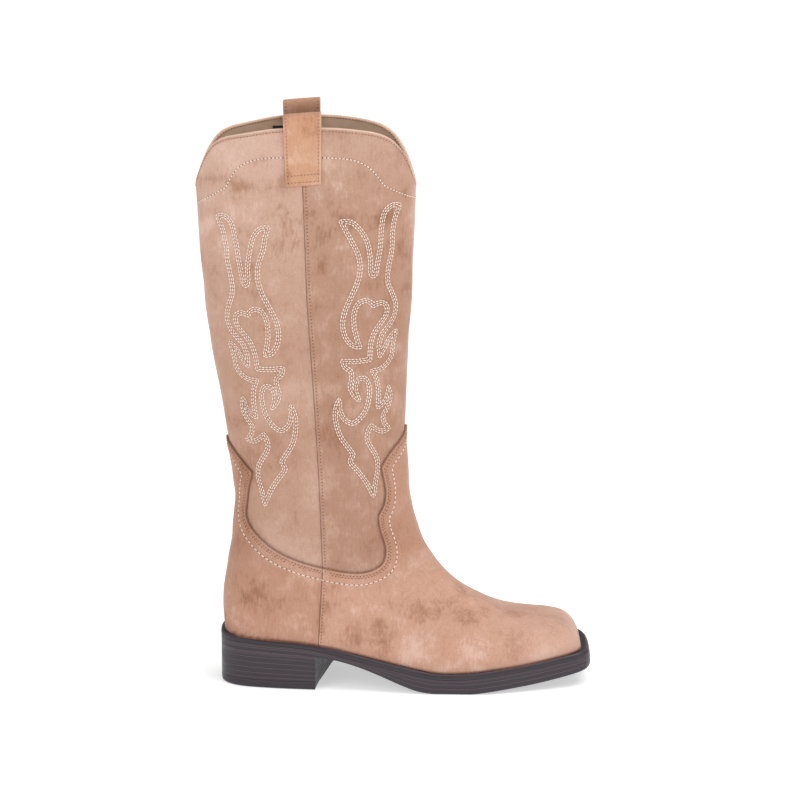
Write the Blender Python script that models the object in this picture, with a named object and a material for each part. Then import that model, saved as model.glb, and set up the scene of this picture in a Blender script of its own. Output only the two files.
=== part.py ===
"""Square-toed western boot for the right foot, as the separate pieces it is made from.

The frame: +X points to the toe, +Y to the inner (medial) side of the foot, +Z up. The origin is
on the floor, under the middle of the boot's bounding box. Dimensions below are in millimetres,
in a layout whose x and y are moved to that origin when each piece is made (FRAME_ORIGIN).

The upper is lofted. Each STATION is a closed section between a front point and a back point.
In the shaft the sections are level; round the ankle they fan out until they stand upright in
the forefoot. Every leather, lining and stiffener is a layer at its own distance from this surface.
"""
import math

import bmesh
import bpy
import numpy as np

MM = 0.001
GAP = 0.3
# the boot is laid out from the toe side of the shaft; this point of the layout becomes x = y = 0
FRAME_ORIGIN = (-6.165, 0.35, 0.0)

# ---- the lofted upper ---------------------------------------------------------------------
# front x, front z, back x, back z, half width, centre y, widest place, front and back roundness
STATIONS = np.array([
    [9.5, 440.0, -156.5, 440.0, 34.0, 0.0, 0.50, 2.2, 2.2],
    [8.3, 395.0, -155.3, 395.0, 34.5, 0.0, 0.50, 2.2, 2.2],
    [6.8, 350.0, -153.6, 350.0, 35.6, 0.0, 0.50, 2.2, 2.2],
    [4.2, 305.0, -150.0, 305.0, 36.8, 0.0, 0.50, 2.2, 2.2],
    [2.2, 260.0, -144.8, 260.0, 37.8, 0.0, 0.50, 2.2, 2.2],
    [0.6, 220.0, -138.2, 220.0, 38.0, 0.0, 0.50, 2.2, 2.2],
    [-0.6, 185.0, -132.6, 185.0, 37.4, 0.0, 0.50, 2.15, 2.15],
    [0.4, 160.0, -129.0, 160.0, 36.4, 0.0, 0.50, 2.1, 2.1],
    [2.2, 141.0, -127.5, 139.0, 35.8, 0.0, 0.50, 2.05, 2.1],
    [4.0, 131.0, -129.8, 117.0, 35.2, 0.0, 0.49, 2.0, 2.2],
    [6.6, 122.0, -133.2, 94.0, 34.8, 0.0, 0.47, 2.0, 2.3],
    [10.0, 113.0, -137.2, 69.0, 34.4, 0.0, 0.45, 2.0, 2.4],
    [13.4, 105.8, -136.8, 48.0, 34.0, -0.5, 0.44, 2.0, 2.5],
    [15.6, 102.0, -134.6, 33.0, 33.6, -0.7, 0.44, 2.0, 2.8],
    [18.2, 98.0, -110.0, 20.0, 33.8, -1.0, 0.44, 2.0, 3.0],
    [23.6, 90.0, -68.0, 15.0, 34.6, -1.5, 0.43, 2.0, 3.2],
    [30.6, 81.6, -37.0, 10.0, 37.0, -1.5, 0.41, 2.05, 3.3],
    [40.0, 73.0, -6.0, 4.0, 40.4, -1.0, 0.38, 2.1, 3.3],
    [53.0, 64.2, 28.0, 2.0, 43.2, -0.5, 0.36, 2.2, 3.3],
    [68.5, 56.2, 58.0, 2.0, 43.6, 0.5, 0.35, 2.3, 3.3],
    [84.0, 51.6, 84.0, 4.5, 41.4, 1.5, 0.35, 2.4, 3.3],
    [98.0, 49.4, 98.0, 7.0, 38.4, 2.2, 0.35, 2.6, 3.3],
    [111.0, 47.8, 111.0, 10.0, 35.0, 2.6, 0.35, 2.8, 3.3],
    [121.0, 44.8, 121.0, 12.5, 32.2, 2.8, 0.37, 2.9, 3.3],
    [127.2, 39.4, 127.2, 15.0, 29.3, 3.0, 0.40, 2.9, 3.3],
    [130.7, 32.8, 130.7, 18.0, 26.0, 3.0, 0.44, 2.9, 3.2],
    [132.8, 25.5, 132.8, 22.5, 20.5, 3.0, 0.45, 2.8, 3.0],
])
# how many rows each stretch between two stations is cut into
ROWS_PER_STRETCH = [4, 4, 1, 1, 1, 2, 2, 2] + [1] * 18
COLUMNS_PER_SIDE = 14

# the side seam, as height and x
SIDE_SEAM = ((30.0, -66.0), (62.0, -64.4), (95.0, -62.4), (165.0, -64.6), (227.0, -67.8),
             (303.0, -72.6), (385.0, -75.0), (445.0, -75.0))
# the scalloped top edge: where between the back (-1) and the front (1), and height
RIM_EDGE = ((-1.0, 383.0), (-0.9, 391.5), (-0.8, 406.0), (-0.7, 416.8), (-0.6, 421.4), (-0.5, 423.5),
            (-0.4, 425.3), (-0.25, 427.8), (0.0, 429.0), (0.25, 428.5), (0.4, 426.9), (0.5, 425.3),
            (0.6, 422.5), (0.7, 416.6), (0.8, 405.8), (0.9, 391.5), (1.0, 383.0))
RIM_HIGH = 429.0
# edge of the vamp and counter over the shaft: girth share (1 front, 0 seam, -1 back) and height
OVERLAY_EDGE = ((1.0, 199.0), (0.76, 188.0), (0.63, 180.5), (0.58, 172.5), (0.60, 165.0),
                (0.62, 155.0), (0.59, 144.0), (0.535, 135.5), (0.545, 124.5), (0.57, 107.5),
                (0.54, 99.0), (0.457, 93.3), (0.35, 91.3), (0.21, 92.3), (0.0, 96.4),
                (-0.185, 102.8), (-0.39, 111.5), (-0.565, 121.5), (-0.68, 131.5),
                (-0.73, 141.0), (-0.68, 155.0), (-0.615, 171.0), (-0.735, 179.5),
                (-0.85, 186.5), (-1.0, 191.0))
GIRTH_SCALE = 90.0
LAP = 9.0
# lower edge of the facing inside the collar: girth share and height, the same front and back
FACING_EDGE = ((0.0, 405.5), (0.30, 405.5), (0.48, 398.0), (0.61, 383.0), (0.72, 377.0), (1.0, 366.0))
# the linings part at the ankle, where a soft band joins them
FOOT_LINING_TOP = 116.0
FOOT_LINING_SLOPE = -0.1
FOOT_LINING_MIDDLE = -65.0
SHAFT_LINING_FOOT = 135.0

# layers, as distances from the outer face of the shaft leather
OVERLAY_LAYER = (0.3, 1.8)
LEATHER_LAYER = (-1.4, 0.0)
LINING_LAYER = (-2.6, -1.7)
FACING_LAYER = (-3.8, -2.9)
LABEL_LAYER = (-4.9, -4.1)

TOE_PUFF_BACK = 98.0
STIFFENER_TOP = 72.0
STIFFENER_FRONT = -80.0

# ---- the bottom ---------------------------------------------------------------------------
# plan of the sole: x, outer (lateral) y, inner (medial) y
SOLE_PLAN = np.array([
    [-141.6, -8.0, 8.0], [-140.3, -13.5, 13.0], [-137.0, -18.7, 17.8], [-131.0, -23.6, 22.6],
    [-122.0, -27.8, 26.8], [-108.0, -31.0, 29.8], [-90.0, -33.7, 32.2], [-68.0, -36.0, 34.4],
    [-57.0, -37.0, 35.3], [-38.0, -39.2, 37.2], [-20.0, -41.6, 39.4], [-4.0, -43.6, 41.6],
    [8.0, -45.0, 43.4], [20.0, -46.0, 45.0], [35.0, -46.7, 46.6], [50.0, -47.1, 47.5],
    [64.0, -46.3, 47.8], [79.0, -43.4, 47.2], [98.0, -39.0, 44.2], [116.0, -34.2, 40.0],
    [127.0, -31.2, 36.2], [134.0, -28.8, 32.2], [138.6, -25.8, 27.6], [141.5, -20.0, 20.4],
    [142.6, -12.0, 11.0]])
# top of the welt, where the upper sits, and underside of the outsole: x and height
WELT_TOP = ((-150.0, 39.4), (-136.0, 39.2), (-110.0, 38.2), (-63.0, 34.4), (-38.0, 29.0),
            (-4.0, 21.2), (25.0, 16.0), (45.0, 15.8), (70.0, 17.8), (98.0, 21.8),
            (121.0, 25.8), (143.0, 29.2))
OUTSOLE_UNDER = ((-142.0, 30.0), (-110.0, 29.0), (-68.0, 26.2), (-57.0, 24.4), (-38.0, 19.6),
                 (-20.0, 13.0), (-4.0, 6.2), (8.0, 1.9), (20.0, 0.0), (50.0, 0.0), (64.0, 1.7),
                 (79.0, 4.0), (98.0, 6.6), (116.0, 9.6), (131.0, 12.4), (143.0, 15.2))
WELT_THICK = 3.0
WELT_CLEARANCE = 0.8
WELT_WIDTH = 9.0
EDGE_ROUND = 1.4
TOP_LIFT_THICK = 6.0
HEEL_BREAST = (-68.0, -54.0)
BOARD_INSET = 9.9
BOARD_BELOW = 1.2
BOARD_ABOVE = 0.9
FOOTBED_INSET = 10.2
FOOTBED_THICK = 3.0
FOOTBED_ROUND = 1.0
# the board and the footbed stop square behind the toe wall, at these x
BOARD_TOE = 128.4
FOOTBED_TOE = 127.0
FILLER_BACK = 8.0
FILLER_FLOOR = 3.0
FILLER_ROOF = 1.5
SHANK_BACK = -104.0
SHANK_FRONT = 2.0
SHANK_HALF_WIDTH = 7.0
NAIL_PLACES = ((-126.0, 0.0), (-114.0, -15.0), (-114.0, 15.0), (-88.0, -19.0), (-88.0, 19.0))
NAIL_RADIUS = 1.2
NAIL_HEAD_RADIUS = 2.6
NAIL_HEAD = 1.2
NAIL_IN_HEEL = 13.0
NAIL_SIDES = 8

# ---- pull straps and label ----------------------------------------------------------------
STRAP_X = {-1: -74.7, 1: -77.0}
STRAP_SAG = {-1: 1.6, 1: 0.0}
STRAP_SAG_FROM = 412.0
STRAP_HALF_WIDTH = 13.3
STRAP_THICK = 1.8
# the outer strap's loop has sunk a little; middle of the strap from the end of its outer leg, over the rim, to the end of its inner leg:
# distance outwards from the shaft leather, and height
STRAP_PATH = ((1.5, 384.5), (1.5, 398.0), (1.5, 412.0), (1.5, 425.0), (2.1, 431.0), (2.3, 435.0),
              (0.9, 439.0), (-2.0, 440.4), (-4.9, 439.0), (-6.3, 435.0), (-6.1, 431.0),
              (-5.5, 425.0), (-5.5, 412.0), (-5.5, 398.0), (-5.5, 384.5))
LABEL_X = (-99.0, -91.0)
LABEL_Z = (406.0, 421.0)


def curve_through(points, where):
    """A smooth curve through uneven knots; points holds the knot first and its values after."""
    points = np.asarray(points, float)
    knots = points[:, 0]
    values = points[:, 1:]
    where = np.atleast_1d(np.asarray(where, float))
    steps = np.diff(knots)
    slopes = np.diff(values, axis=0) / steps[:, None]
    tangents = np.empty_like(values)
    tangents[0] = slopes[0]
    tangents[-1] = slopes[-1]
    weights = (steps[1:] + steps[:-1])[:, None]
    tangents[1:-1] = (slopes[:-1] * steps[1:, None] + slopes[1:] * steps[:-1, None]) / weights
    index = np.clip(np.searchsorted(knots, where, side="right") - 1, 0, len(steps) - 1)
    width = steps[index][:, None]
    u = ((where - knots[index])[:, None]) / width
    return (values[index] * (1 + 2 * u) * (1 - u) ** 2
            + tangents[index] * width * u * (1 - u) ** 2
            + values[index + 1] * u * u * (3 - 2 * u)
            + tangents[index + 1] * width * u * u * (u - 1))


def welt_top(x):
    return curve_through(WELT_TOP, x)[:, 0]


def outsole_under(x):
    return np.interp(x, [p[0] for p in OUTSOLE_UNDER], [p[1] for p in OUTSOLE_UNDER])


def seam_x(z):
    return np.interp(z, [p[0] for p in SIDE_SEAM], [p[1] for p in SIDE_SEAM])


def station_knots():
    front = np.linalg.norm(np.diff(STATIONS[:, :2], axis=0), axis=1)
    back = np.linalg.norm(np.diff(STATIONS[:, 2:4], axis=0), axis=1)
    return np.concatenate([[0], np.cumsum((front + back) / 2)])


def section_side(row, shares, fine=161):
    """One side of a section, back to front, at equal steps of its length: along and across."""
    length = math.hypot(row[0] - row[2], row[1] - row[3])
    widest, front_round, back_round = row[6], row[7], row[8]
    turn = np.linspace(0, math.pi, fine)
    cosine = np.abs(np.cos(turn))
    sine = np.sin(turn).clip(0)
    behind = turn <= math.pi / 2
    along = np.where(behind, widest * (1 - cosine ** (2 / back_round)),
                     widest + (1 - widest) * cosine ** (2 / front_round))
    across = np.where(behind, sine ** (2 / back_round), sine ** (2 / front_round)) * row[4]
    steps = np.hypot(np.diff(along) * length, np.diff(across))
    run = np.concatenate([[0], np.cumsum(steps)])
    return np.interp(shares * run[-1], run, along), np.interp(shares * run[-1], run, across)


class Upper:
    """The lofted surface as a grid of points, outward normals and pattern coordinates."""

    def __init__(self):
        knots = station_knots()
        stops = [knots[0]]
        for k, count in enumerate(ROWS_PER_STRETCH):
            stops.extend(np.linspace(knots[k], knots[k + 1], count + 1)[1:])
        table = np.column_stack([knots, STATIONS])
        self.rows = curve_through(table, stops)
        side = COLUMNS_PER_SIDE
        shares = np.linspace(0, 1, side + 1)
        self.columns = 2 * side
        self.points = np.empty((len(self.rows), self.columns, 3))
        self.share = np.concatenate([shares, shares[-2:0:-1]])
        for i, row in enumerate(self.rows):
            along, across = section_side(row, shares)
            spine = row[2:4] + (row[:2] - row[2:4]) * along[:, None]
            outer = np.column_stack([spine[:, 0], row[5] - across, spine[:, 1]])
            inner = np.column_stack([spine[:, 0], row[5] + across, spine[:, 1]])
            self.points[i] = np.concatenate([outer, inner[-2:0:-1]])
        down = np.gradient(self.points, axis=0)
        around = np.roll(self.points, -1, axis=1) - np.roll(self.points, 1, axis=1)
        normals = np.cross(down, around)
        self.normals = normals / np.linalg.norm(normals, axis=2, keepdims=True)
        self.girth = self.girth_shares()

    def girth_shares(self):
        """1 at the centre front, 0 at the side seam and -1 at the centre back of every row."""
        girth = np.empty(self.points.shape[:2])
        for i in range(len(self.rows)):
            line = self.points[i, :COLUMNS_PER_SIDE + 1]
            ahead = line[:, 0] - seam_x(line[:, 2])
            crossing = np.where((ahead[:-1] < 0) & (ahead[1:] >= 0))[0]
            seam = 0.0
            if len(crossing):
                k = crossing[0]
                seam = (k + ahead[k] / (ahead[k] - ahead[k + 1])) / COLUMNS_PER_SIDE
            forward = (self.share - seam) / (1 - seam)
            backward = (self.share - seam) / max(seam, 1e-6)
            girth[i] = np.where(self.share >= seam, forward, backward)
        return girth

    def shifted(self, distance):
        return self.points + self.normals * distance

    def overlay_depth(self):
        """How far each grid point lies inside the edge of the vamp and counter."""
        edge = np.array(OVERLAY_EDGE)
        below = np.array([[-1.5, edge[-1, 1]], [-1.5, -60.0], [1.5, -60.0], [1.5, edge[0, 1]]])
        outline = np.concatenate([edge, below])
        scale = np.array([GIRTH_SCALE, 1.0])
        spots = np.stack([self.girth, self.points[..., 2]], axis=-1).reshape(-1, 2) * scale
        a = outline * scale
        b = np.roll(a, -1, axis=0)
        nearest = np.full(len(spots), 1e9)
        inside = np.zeros(len(spots), bool)
        for p, q in zip(a, b):
            leg = q - p
            t = np.clip(((spots - p) @ leg) / (leg @ leg), 0, 1)
            away = np.linalg.norm(spots - p - t[:, None] * leg, axis=1)
            nearest = np.minimum(nearest, away)
            if p[1] != q[1]:
                spans = (p[1] > spots[:, 1]) != (q[1] > spots[:, 1])
                crosses = p[0] + (spots[:, 1] - p[1]) / (q[1] - p[1]) * (q[0] - p[0])
                inside ^= spans & (spots[:, 0] < crosses)
        return np.where(inside, nearest, -nearest).reshape(self.girth.shape)


def rim_height(upper):
    """Height of the top edge above every column of the grid, the same on both sides."""
    return curve_through(RIM_EDGE, upper.share * 2 - 1)[:, 0]


def make_material(name, colour, roughness, metallic=0.0):
    material = bpy.data.materials.get(name) or bpy.data.materials.new(name)
    material.use_nodes = True
    shader = material.node_tree.nodes["Principled BSDF"]
    shader.inputs["Base Color"].default_value = (*colour, 1.0)
    shader.inputs["Roughness"].default_value = roughness
    shader.inputs["Metallic"].default_value = metallic
    return material


def suede():
    return make_material("suede", (0.50, 0.30, 0.22), 0.95)


def lining_cloth():
    return make_material("lining_cloth", (0.38, 0.24, 0.15), 0.9)


def stiff_board():
    return make_material("stiff_board", (0.55, 0.47, 0.36), 0.9)


def sole_rubber():
    return make_material("sole_rubber", (0.075, 0.058, 0.070), 0.55)


def bright_steel():
    return make_material("bright_steel", (0.6, 0.6, 0.6), 0.35, 1.0)


def label_cloth():
    return make_material("label_cloth", (0.06, 0.06, 0.06), 0.8)


def add_object(name, vertices, faces, material, smooth=True):
    mesh = bpy.data.meshes.new(name)
    mesh.from_pydata([tuple(v) for v in (np.asarray(vertices) - FRAME_ORIGIN) * MM], [], faces)
    mesh.validate()
    shape = bmesh.new()
    shape.from_mesh(mesh)
    bmesh.ops.recalc_face_normals(shape, faces=shape.faces)
    shape.to_mesh(mesh)
    shape.free()
    if smooth:
        mesh.shade_smooth()
        mesh.set_sharp_from_angle(angle=math.radians(35))
    mesh.materials.append(material)
    thing = bpy.data.objects.new(name, mesh)
    bpy.context.scene.collection.objects.link(thing)
    return thing


def clip_corners(levels):
    """The part of a triangle where every level is positive, as shares of its three corners."""
    loop = [np.array(corner, float) for corner in ((1, 0, 0), (0, 1, 0), (0, 0, 1))]
    for level in levels:
        heights = [corner @ level for corner in loop]
        cut = []
        for k, corner in enumerate(loop):
            n = (k + 1) % len(loop)
            if heights[k] > 0:
                cut.append(corner)
            if (heights[k] > 0) != (heights[n] > 0):
                share = heights[k] / (heights[k] - heights[n])
                cut.append(corner * (1 - share) + loop[n] * share)
        loop = cut
        if len(loop) < 3:
            return []
    return loop


def clip_grid(levels):
    """Cut the grid where any level is negative. Returns grid corners, their shares, triangles."""
    rows, columns = levels[0].shape
    flat = np.stack([level.reshape(-1) for level in levels])
    corners, shares, triangles = [], [], []
    numbers = {}
    for i in range(rows - 1):
        for j in range(columns):
            square = {"a": (i, j), "b": (i, j + 1), "c": (i + 1, j + 1), "d": (i + 1, j)}
            for three in ("abc", "acd"):
                places = np.array([square[letter] for letter in three])
                index = places[:, 0] * columns + places[:, 1] % columns
                found = []
                for corner in clip_corners(flat[:, index]):
                    row, column = corner @ places
                    key = (round(row, 6), round(column, 6) % columns)
                    if key not in numbers:
                        numbers[key] = len(corners)
                        corners.append(index)
                        shares.append(corner)
                    if numbers[key] not in found:
                        found.append(numbers[key])
                for n in range(1, len(found) - 1):
                    triangles.append((found[0], found[n], found[n + 1]))
    return np.array(corners), np.array(shares), triangles


def layer_piece(name, upper, layer, regions, material):
    """One layer of the upper, kept where every region is positive on both of its faces."""
    sheets = [upper.shifted(distance) for distance in layer]
    levels = [np.minimum(region(sheets[0]), region(sheets[1])) for region in regions]
    corners, shares, triangles = clip_grid(levels)
    rings = [(sheet.reshape(-1, 3)[corners] * shares[:, :, None]).sum(axis=1) for sheet in sheets]
    count = len(corners)
    edges = set()
    for a, b, c in triangles:
        edges.update(((a, b), (b, c), (c, a)))
    walls = [(a, b) for a, b in edges if (b, a) not in edges]
    faces = [(a, b, c) for a, b, c in triangles]
    faces += [(c + count, b + count, a + count) for a, b, c in triangles]
    for a, b in sorted(walls):
        faces.append((b, a, a + count))
        faces.append((b, a + count, b + count))
    return add_object(name, np.concatenate(rings), faces, material)


def build_upper():
    upper = Upper()
    half = GAP / 2
    rim = rim_height(upper)
    overlay = upper.overlay_depth()
    facing_edge = np.interp(np.abs(upper.girth), *zip(*FACING_EDGE))

    def under_rim(p):
        return rim - p[..., 2]

    def above_welt(p):
        return p[..., 2] - welt_top(p[..., 0].ravel()).reshape(p.shape[:2]) - WELT_CLEARANCE

    def ahead(p):
        return p[..., 0] - seam_x(p[..., 2]) - half

    def behind(p):
        return seam_x(p[..., 2]) - p[..., 0] - half

    def foot_lining_room(p):
        top = FOOT_LINING_TOP + FOOT_LINING_SLOPE * (p[..., 0] - FOOT_LINING_MIDDLE)
        return top - p[..., 2]

    def on_overlay(p):
        return overlay

    def off_overlay(p):
        return LAP - overlay

    def shaft_lining_room(p):
        return p[..., 2] - SHAFT_LINING_FOOT

    def above_foot_lining(p):
        return -foot_lining_room(p) - GAP

    def under_shaft_lining(p):
        return -shaft_lining_room(p) - GAP

    layer_piece("vamp", upper, OVERLAY_LAYER, [on_overlay, ahead, above_welt], suede())
    layer_piece("counter", upper, OVERLAY_LAYER, [on_overlay, behind, above_welt], suede())
    layer_piece("shaft_front", upper, LEATHER_LAYER, [off_overlay, ahead, under_rim], suede())
    layer_piece("shaft_back", upper, LEATHER_LAYER, [off_overlay, behind, under_rim], suede())
    layer_piece("toe_puff", upper, LEATHER_LAYER,
                [lambda p: p[..., 0] - TOE_PUFF_BACK, above_welt], stiff_board())
    layer_piece("heel_stiffener", upper, LEATHER_LAYER,
                [lambda p: STIFFENER_TOP - p[..., 2], lambda p: STIFFENER_FRONT - p[..., 0],
                 above_welt], stiff_board())
    layer_piece("vamp_lining", upper, LINING_LAYER,
                [foot_lining_room, ahead, above_welt], lining_cloth())
    layer_piece("heel_lining", upper, LINING_LAYER,
                [foot_lining_room, behind, above_welt], lining_cloth())
    layer_piece("ankle_lining", upper, LINING_LAYER,
                [above_foot_lining, under_shaft_lining], lining_cloth())
    layer_piece("shaft_lining_front", upper, LINING_LAYER,
                [shaft_lining_room, ahead, under_rim], lining_cloth())
    layer_piece("shaft_lining_back", upper, LINING_LAYER,
                [shaft_lining_room, behind, under_rim], lining_cloth())
    layer_piece("collar_facing", upper, FACING_LAYER,
                [under_rim, lambda p: p[..., 2] - facing_edge], suede())


def shaft_side(x, z):
    """Distance from the boot's middle plane to the shaft leather at a place on its side."""
    level = curve_through(np.column_stack([-STATIONS[:8, 1], STATIONS[:8]]), -z)[0]
    along = (x - level[2]) / (level[0] - level[2])
    return level[4] * (1 - abs(2 * along - 1) ** level[7]) ** (1 / level[7])


def build_strap(name, side):
    """A strap sewn to both faces of the shaft, arching over the rim; side is -1 or 1 along y."""
    path = np.array(STRAP_PATH)
    tangent = np.gradient(path, axis=0)
    tangent /= np.linalg.norm(tangent, axis=1, keepdims=True)
    across = np.column_stack([tangent[:, 1], -tangent[:, 0]])
    sag = STRAP_SAG[side] * (path[:, 1] - STRAP_SAG_FROM) / (path[:, 1].max() - STRAP_SAG_FROM)
    path[:, 1] -= np.maximum(sag, 0.0)
    middle = STRAP_X[side]
    columns = (middle - STRAP_HALF_WIDTH, middle, middle + STRAP_HALF_WIDTH)
    vertices = []
    for (out, z), (normal_out, normal_z) in zip(path, across):
        for face in (-0.5, 0.5):
            for x in columns:
                place = out + normal_out * STRAP_THICK * face
                height = z + normal_z * STRAP_THICK * face
                vertices.append((x, side * (shaft_side(x, min(height, RIM_HIGH)) + place), height))
    faces = []
    per_ring = 6
    loop = (0, 1, 2, 5, 4, 3)
    for i in range(len(path) - 1):
        for a, b in zip(loop, loop[1:] + loop[:1]):
            low, high = i * per_ring, (i + 1) * per_ring
            faces.append((low + a, low + b, high + b, high + a))
    last = (len(path) - 1) * per_ring
    faces += [(0, 3, 4, 1), (1, 4, 5, 2)]
    faces += [(last, last + 1, last + 4, last + 3), (last + 1, last + 2, last + 5, last + 4)]
    return add_object(name, vertices, faces, suede())


def build_label():
    vertices = []
    for out in LABEL_LAYER:
        for x in LABEL_X:
            for z in LABEL_Z:
                vertices.append((x, shaft_side(x, z) + out, z))
    faces = [(0, 1, 3, 2), (4, 6, 7, 5), (0, 4, 5, 1), (2, 3, 7, 6), (0, 2, 6, 4), (1, 5, 7, 3)]
    return add_object("size_label", vertices, faces, label_cloth(), smooth=False)


def inset_plan(pairs, inset, toe=None):
    """Move an outline, given as outer and inner points per station, inwards; it may stop at toe."""
    outline = np.concatenate([pairs[:, 0], pairs[::-1, 1]])
    edge = np.roll(outline, -1, axis=0) - outline
    normal = np.column_stack([-edge[:, 1], edge[:, 0]])
    normal /= np.linalg.norm(normal, axis=1, keepdims=True)
    joint = normal + np.roll(normal, 1, axis=0)
    joint /= (joint * normal).sum(axis=1, keepdims=True)
    moved = outline + joint * inset
    if toe is not None:
        moved[:, 0] = np.minimum(moved[:, 0], toe)
    count = len(pairs)
    return np.stack([moved[:count], moved[count:][::-1]], axis=1)


def plan_pairs(low=None, high=None):
    """Outer and inner plan points per station, cut to the stretch between two x positions."""
    plan = SOLE_PLAN
    low = plan[0, 0] if low is None else low
    high = plan[-1, 0] if high is None else high
    inside = plan[(plan[:, 0] > low) & (plan[:, 0] < high), 0]
    stops = np.concatenate([[low], inside, [high]])
    lateral = np.interp(stops, plan[:, 0], plan[:, 1])
    medial = np.interp(stops, plan[:, 0], plan[:, 2])
    return np.stack([np.column_stack([stops, lateral]), np.column_stack([stops, medial])], axis=1)


def slab(name, rings, material):
    """A plate closed by its first and last ring; each ring is plan pairs and a height of x."""
    count = len(rings[0][0])
    vertices = []
    for pairs, height in rings:
        loop = np.concatenate([pairs[:, 0], pairs[::-1, 1]])
        vertices.append(np.column_stack([loop, height(loop[:, 0])]))
    around = 2 * count
    faces = []
    for r in range(len(rings) - 1):
        for k in range(around):
            n = (k + 1) % around
            faces.append((r * around + k, r * around + n, (r + 1) * around + n, (r + 1) * around + k))
    last = (len(rings) - 1) * around
    for k in range(count - 1):
        far, far_next = around - 1 - k, around - 2 - k
        faces.append((k, far, far_next, k + 1))
        faces.append((last + k, last + k + 1, last + far_next, last + far))
    return add_object(name, np.concatenate(vertices), faces, material)


def ring_band(name, rings, material):
    """A closed band: like a slab, but its last ring joins its first, leaving the middle open."""
    vertices = []
    for pairs, height in rings:
        loop = np.concatenate([pairs[:, 0], pairs[::-1, 1]])
        vertices.append(np.column_stack([loop, height(loop[:, 0])]))
    around = len(vertices[0])
    faces = []
    for r in range(len(rings)):
        s = (r + 1) % len(rings)
        for k in range(around):
            n = (k + 1) % around
            faces.append((r * around + k, r * around + n, s * around + n, s * around + k))
    return add_object(name, np.concatenate(vertices), faces, material)


def raised(height, by):
    return lambda x: height(x) + by


def heel_pairs():
    """Plan of the heel, which ends at its slanted breast."""
    outer = plan_pairs(high=HEEL_BREAST[0])
    inner = plan_pairs(high=HEEL_BREAST[1])
    pairs = outer.copy()
    pairs[:-1, 1] = inner[:len(outer) - 1, 1]
    pairs[-1, 1] = inner[-1, 1]
    return pairs


def nail_cutter(name, low, high):
    """Holes for the heel nails between two heights above the outsole's top."""
    shape = bmesh.new()
    for x, y in NAIL_PLACES:
        top = welt_top(x)[0] - WELT_THICK - GAP
        made = bmesh.ops.create_cone(shape, cap_ends=True, segments=NAIL_SIDES,
                                     radius1=(NAIL_RADIUS + GAP) * MM, radius2=(NAIL_RADIUS + GAP) * MM,
                                     depth=(high - low) * MM)
        centre = (np.array((x, y, top + (low + high) / 2)) - FRAME_ORIGIN) * MM
        bmesh.ops.translate(shape, verts=made["verts"], vec=centre)
    mesh = bpy.data.meshes.new(name)
    shape.to_mesh(mesh)
    shape.free()
    cutter = bpy.data.objects.new(name, mesh)
    cutter.hide_render = True
    cutter.display_type = "WIRE"
    bpy.context.scene.collection.objects.link(cutter)
    return cutter


def cut_with(thing, cutter):
    modifier = thing.modifiers.new("nail_holes", "BOOLEAN")
    modifier.operation = "DIFFERENCE"
    modifier.solver = "EXACT"
    modifier.object = cutter


def build_nail(number, x, y):
    seat = welt_top(x)[0] - WELT_THICK
    tip = outsole_under(x) - GAP - NAIL_IN_HEEL
    profile = ((0.0, seat + NAIL_HEAD), (NAIL_HEAD_RADIUS, seat + NAIL_HEAD), (NAIL_HEAD_RADIUS, seat),
               (NAIL_RADIUS, seat), (NAIL_RADIUS, tip + 3.0), (0.0, tip))
    vertices = [(x, y, profile[0][1])]
    for radius, z in profile[1:-1]:
        for k in range(NAIL_SIDES):
            turn = 2 * math.pi * (k + 0.5) / NAIL_SIDES
            vertices.append((x + radius * math.cos(turn), y + radius * math.sin(turn), z))
    vertices.append((x, y, tip))
    faces = []
    for k in range(NAIL_SIDES):
        n = (k + 1) % NAIL_SIDES
        faces.append((0, 1 + k, 1 + n))
        for r in range(len(profile) - 3):
            upper, lower = 1 + r * NAIL_SIDES, 1 + (r + 1) * NAIL_SIDES
            faces.append((upper + k, lower + k, lower + n, upper + n))
        final = 1 + (len(profile) - 3) * NAIL_SIDES
        faces.append((final + k, len(vertices) - 1, final + n))
    return add_object(f"heel_nail_{number}", vertices, faces, bright_steel())


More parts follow.
